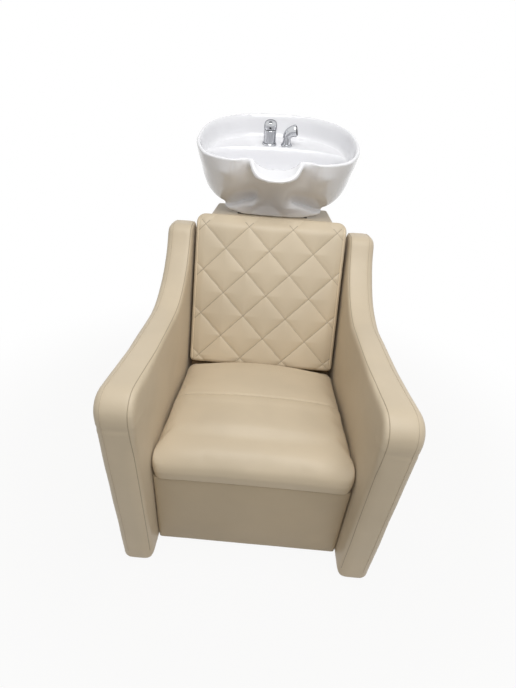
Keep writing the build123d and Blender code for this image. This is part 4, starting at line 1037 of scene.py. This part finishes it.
def bent_body(stations, place):
    """A closed round body along stations of across, up, lean in degrees and radius, in millimetres."""
    bm = bmesh.new()
    frames = [
        Matrix.Translation((across * MM, 0, up * MM)) @ Matrix.Rotation(radians(lean), 4, "Y")
        for across, up, lean, _ in stations
    ]
    bmesh.ops.create_circle(bm, cap_ends=True, segments=40, radius=stations[0][3] * MM, matrix=frames[0])
    top = bm.faces[:][0]
    for index in range(1, len(stations)):
        grown = bmesh.ops.extrude_face_region(bm, geom=[top])["geom"]
        top = next(part for part in grown if isinstance(part, bmesh.types.BMFace))
        size = stations[index][3] / stations[index - 1][3]
        step = frames[index] @ Matrix.Scale(size, 4) @ frames[index - 1].inverted()
        bmesh.ops.transform(bm, matrix=step, verts=top.verts)
    bmesh.ops.recalc_face_normals(bm, faces=bm.faces)
    bmesh.ops.transform(bm, matrix=ledge_place(place), verts=bm.verts)
    return bm


def slant_rim(bm, place):
    """Slants the cap's rim up towards its rear, so that it clears the column when the lever lifts."""
    ledge = ledge_place(place)
    level = ledge.inverted()
    for vert in bm.verts:
        x, y, z = level @ vert.co
        clear = BALL_HEIGHT + (y / MM * LIFT_SIN - COLUMN_CLEARANCE) / LIFT_COS
        z += max(0, clear - CAP_RIM) * MM * max(0, 1 - (z / MM - CAP_RIM) / (CAP_SIDE - CAP_RIM))
        vert.co = ledge @ Vector((x, y, z))


class Mixer(Operator):
    """Builds the mixer: ring, body, domed cap with its lever, and the index dot"""

    bl_idname = "chair.mixer"
    bl_label = "Mixer"

    def execute(self, context):
        ring = ((0, 0), (26.5, 0), (26.5, 2.4), (25.4, 4.8), (23.6, 6), (0, 6))
        bm = turned(ring, MIXER_PLACE)
        add_piece("mixer_ring", bm, "chrome", "basin", ("mixer_base_ring",), SHARP_ANGLE)
        body = ((0, 6.1), (21.4, 6.1), (22.4, 7.4), (22.4, 49.6), (21.4, 51), (0, 51))
        bm = turned(body, MIXER_PLACE)
        add_piece("mixer_column", bm, "chrome", "basin", ("mixer_body",), SHARP_ANGLE)
        cap = (
            (0, CAP_RIM), (22.4, CAP_RIM), (23.4, 54.8), (23.5, CAP_SIDE), (22.8, 72), (20.6, 77),
            (16.6, 81), (11, 83.6), (5, 84.6), (0, 84.8),
        )
        bm = turned(cap, MIXER_PLACE)
        slant_rim(bm, MIXER_PLACE)
        lever = bmesh.new()
        bmesh.ops.create_cube(lever, size=1, matrix=Matrix.Diagonal((13 * MM, 50 * MM, 6 * MM, 1)))
        bmesh.ops.bevel(
            lever, geom=lever.edges, offset=2.9 * MM, offset_type="OFFSET", segments=5, profile=0.5,
            affect="EDGES", material=-1, clamp_overlap=True,
        )
        place = ledge_place(MIXER_PLACE) @ Matrix.Translation((0, -28 * MM, 81 * MM))
        bmesh.ops.transform(lever, matrix=place @ Matrix.Rotation(radians(-7), 4, "X"), verts=lever.verts)
        tongue = mesh_of(lever, "tongue")
        bm.from_mesh(tongue)
        bpy.data.meshes.remove(tongue)
        add_piece("mixer_cap", bm, "chrome", "mixer_lever", ("mixer_handle",), SHARP_ANGLE)
        dot = bmesh.new()
        bmesh.ops.create_uvsphere(dot, u_segments=20, v_segments=12, radius=3.8 * MM)
        bmesh.ops.scale(dot, vec=(1, 0.4, 1), verts=dot.verts)
        place = ledge_place(MIXER_PLACE) @ Matrix.Translation((0, -23.3 * MM, 62 * MM))
        bmesh.ops.transform(dot, matrix=place, verts=dot.verts)
        add_piece("mixer_index_dot", dot, "index_plastic", "mixer_lever", ("index_plug",))
        return {"FINISHED"}


class Shower(Operator):
    """Builds the pull-out shower: ring, sleeve, bent handset and its nozzle face"""

    bl_idname = "chair.shower"
    bl_label = "Shower"

    def execute(self, context):
        ring = ((0, 0), (20.5, 0), (20.5, 2), (19.6, 4), (17.8, 5), (0, 5))
        bm = turned(ring, SHOWER_PLACE)
        add_piece("shower_ring", bm, "chrome", "basin", ("shower_base_ring",), SHARP_ANGLE)
        stations = (
            (0, -16.7, 0, 7.5), (0, 27, 0, 7.5), (0, 27.5, 0, 15.4), (0.2, 28.5, 0, 16.4), (1, 34, 14, 16.6),
            (4, 40, 32, 16.8), (9, 45.5, 52, 17.4), (15, 49, 68, 18.6), (20, 50.6, 76, 19.8),
            (25, 51.8, 78, 20.6), (29, 52.7, 78, 20.6), (31.4, 53.2, 78, 19.8), (31.9, 53.3, 78, 18),
        )
        bm = bent_body(stations, SHOWER_PLACE)
        add_piece("handset_shell", bm, "chrome", "handset", ("handset_body",), SHARP_ANGLE)
        face = bent_body(((32, 53.3, 78, 17), (34.6, 53.9, 78, 16.6), (35.2, 54, 78, 15.4)), SHOWER_PLACE)
        head = ledge_place(SHOWER_PLACE) @ Matrix.Translation((35.2 * MM, 0, 54 * MM))
        head = head @ Matrix.Rotation(radians(78), 4, "Y")
        for count, radius in ((1, 0), (6, 5.4), (12, 11)):
            for index in range(count):
                turn = Matrix.Rotation(2 * pi * index / count, 4, "Z")
                spot = head @ turn @ Matrix.Translation((radius * MM, 0, 0))
                bmesh.ops.create_cone(
                    face, cap_ends=True, segments=8, radius1=1.5 * MM, radius2=1.1 * MM,
                    depth=1.6 * MM, matrix=spot,
                )
        add_piece("nozzle_face", face, "black_plastic", "handset", ("handset_face",), SHARP_ANGLE)
        return {"FINISHED"}


class FrameFinishes(Operator):
    """Gives every node of the frame its finish"""

    bl_idname = "chair.finishes"
    bl_label = "Finishes"

    def execute(self, context):
        for part in frame["record"]["subparts"]:
            node = frame["nodes"][part["node"]]
            finish = materials[part["material_slot"]]
            if not node.material_slots:
                node.data.materials.append(finish)
            for slot in node.material_slots:
                slot.material = finish
        return {"FINISHED"}


# Floor, lamps and camera
LAMP_SIZE, LAMP_TARGET = 1.4, (0, 0, 0.5)


def sees_background(nodes, links):
    """1 for rays that show the background: from the camera, in gloss and through clear things."""
    path = nodes.new("ShaderNodeLightPath")
    total = path.outputs["Is Camera Ray"]
    for name in ("Is Glossy Ray", "Is Transmission Ray"):
        either = nodes.new("ShaderNodeMath")
        either.operation = "MAXIMUM"
        links.new(total, either.inputs[0])
        links.new(path.outputs[name], either.inputs[1])
        total = either.outputs[0]
    return total


def mix_shaders(nodes, links, factor, first, second, end):
    """Mixes two shaders by a factor into the surface of an output."""
    mix = nodes.new("ShaderNodeMixShader")
    links.new(factor, mix.inputs["Fac"])
    links.new(first.outputs[0], mix.inputs[1])
    links.new(second.outputs[0], mix.inputs[2])
    links.new(mix.outputs[0], nodes[end].inputs["Surface"])


def make_floor():
    """Pale floor that keeps the object's shadow and runs into white."""
    bm = bmesh.new()
    bmesh.ops.create_circle(bm, cap_ends=True, segments=64, radius=14)
    mesh = mesh_of(bm, "floor")
    floor = linked("floor", mesh)
    finish = Finish("floor", stage().floor_colour, 0.9)
    nodes, links = finish.nodes, finish.links
    white = nodes.new("ShaderNodeEmission")
    distance = nodes.new("ShaderNodeVectorMath")
    distance.operation = "LENGTH"
    links.new(finish.place, distance.inputs[0])
    whiten = nodes.new("ShaderNodeMapRange")
    whiten.interpolation_type = "SMOOTHSTEP"
    set_inputs(whiten, {"From Min": 0.7, "From Max": 1.6, "To Min": 0.92})
    links.new(distance.outputs["Value"], whiten.inputs["Value"])
    seen = nodes.new("ShaderNodeMath")
    seen.operation = "MULTIPLY"
    links.new(whiten.outputs["Result"], seen.inputs[0])
    links.new(sees_background(nodes, links), seen.inputs[1])
    mix_shaders(nodes, links, seen.outputs[0], finish.shader, white, "Material Output")
    mesh.materials.append(finish.material)


def make_world():
    """White background with plain soft light from all round."""
    world = bpy.data.worlds.new("studio")
    bpy.context.scene.world = world
    world.use_nodes = True
    nodes, links = world.node_tree.nodes, world.node_tree.links
    light = nodes["Background"]
    set_inputs(light, {"Color": (1, 1, 1, 1), "Strength": stage().world_strength})
    shown = nodes.new("ShaderNodeBackground")
    shown.inputs["Color"].default_value = (1, 1, 1, 1)
    mix_shaders(nodes, links, sees_background(nodes, links), light, shown, "World Output")


def make_lamp(name, place, power):
    """A square soft lamp that faces the chair."""
    lamp = bpy.data.lights.new(name, "AREA")
    lamp.size = LAMP_SIZE
    lamp.energy = power
    holder = linked(name, lamp)
    holder.location = place
    holder.rotation_euler = (Vector(LAMP_TARGET) - Vector(place)).to_track_quat("-Z", "Y").to_euler()


def make_camera():
    """The camera at the photograph's place, its optical centre a little off the frame's middle."""
    settings = stage()
    camera = bpy.data.cameras.new("camera")
    camera.lens = settings.camera_lens
    camera.sensor_width = 36
    camera.shift_x = 0.0135
    camera.shift_y = 0.0042
    camera.clip_start = 0.05
    camera.clip_end = 60
    holder = linked("camera", camera)
    turn = (
        Matrix.Rotation(settings.camera_yaw, 4, "Z")
        @ Matrix.Rotation(radians(90) - settings.camera_pitch, 4, "X")
        @ Matrix.Rotation(settings.camera_roll, 4, "Z")
    )
    holder.matrix_world = Matrix.Translation(settings.camera_place) @ turn
    bpy.context.scene.camera = holder


class Stage(Operator):
    """Sets the floor, the lamps, the world and the camera"""

    bl_idname = "chair.stage"
    bl_label = "Stage"

    def execute(self, context):
        make_floor()
        make_world()
        make_lamp("ceiling", (0.15, -0.7, 2.5), stage().ceiling_power)
        make_lamp("front", (0.6, -2.1, 2.5), stage().front_power)
        make_camera()
        context.scene.view_settings.view_transform = "Standard"
        return {"FINISHED"}


OPERATORS = (
    FrameFinishes, ArmUpholstery, SeatUpholstery, FrontPanelUpholstery, BackUpholstery,
    GlazedBasin, Mixer, Shower, Stage,
)


class ChairPanel(Panel):
    """Lists the chair's pieces"""

    bl_idname = "CHAIR_PT_pieces"
    bl_label = "Chair"
    bl_space_type = "VIEW_3D"
    bl_region_type = "UI"
    bl_category = "Chair"

    def draw(self, context):
        for operator in OPERATORS:
            self.layout.operator(operator.bl_idname)


SETTINGS = (UpholsterySettings, BasinSettings, StageSettings)


def register():
    """Registers the settings, the operators and the panel."""
    for kind in (*SETTINGS, *OPERATORS, ChairPanel):
        bpy.utils.register_class(kind)
    bpy.types.Scene.chair_upholstery = PointerProperty(type=UpholsterySettings)
    bpy.types.Scene.chair_basin = PointerProperty(type=BasinSettings)
    bpy.types.Scene.chair_stage = PointerProperty(type=StageSettings)


def unregister():
    """Takes them out again."""
    del bpy.types.Scene.chair_stage
    del bpy.types.Scene.chair_basin
    del bpy.types.Scene.chair_upholstery
    for kind in reversed((*SETTINGS, *OPERATORS, ChairPanel)):
        bpy.utils.unregister_class(kind)


def main():
    """Builds the whole chair and its stage."""
    register()
    materials.update(make_materials())
    seam_shade_and_highlight_finishes.update(make_seam_shade_and_highlight_finishes())
    bpy.ops.chair.finishes()
    bpy.ops.chair.arms()
    bpy.ops.chair.seat()
    bpy.ops.chair.front_panel()
    bpy.ops.chair.back()
    bpy.ops.chair.basin()
    bpy.ops.chair.mixer()
    bpy.ops.chair.shower()
    bpy.ops.chair.stage()


if __name__ == "__main__":
    main()
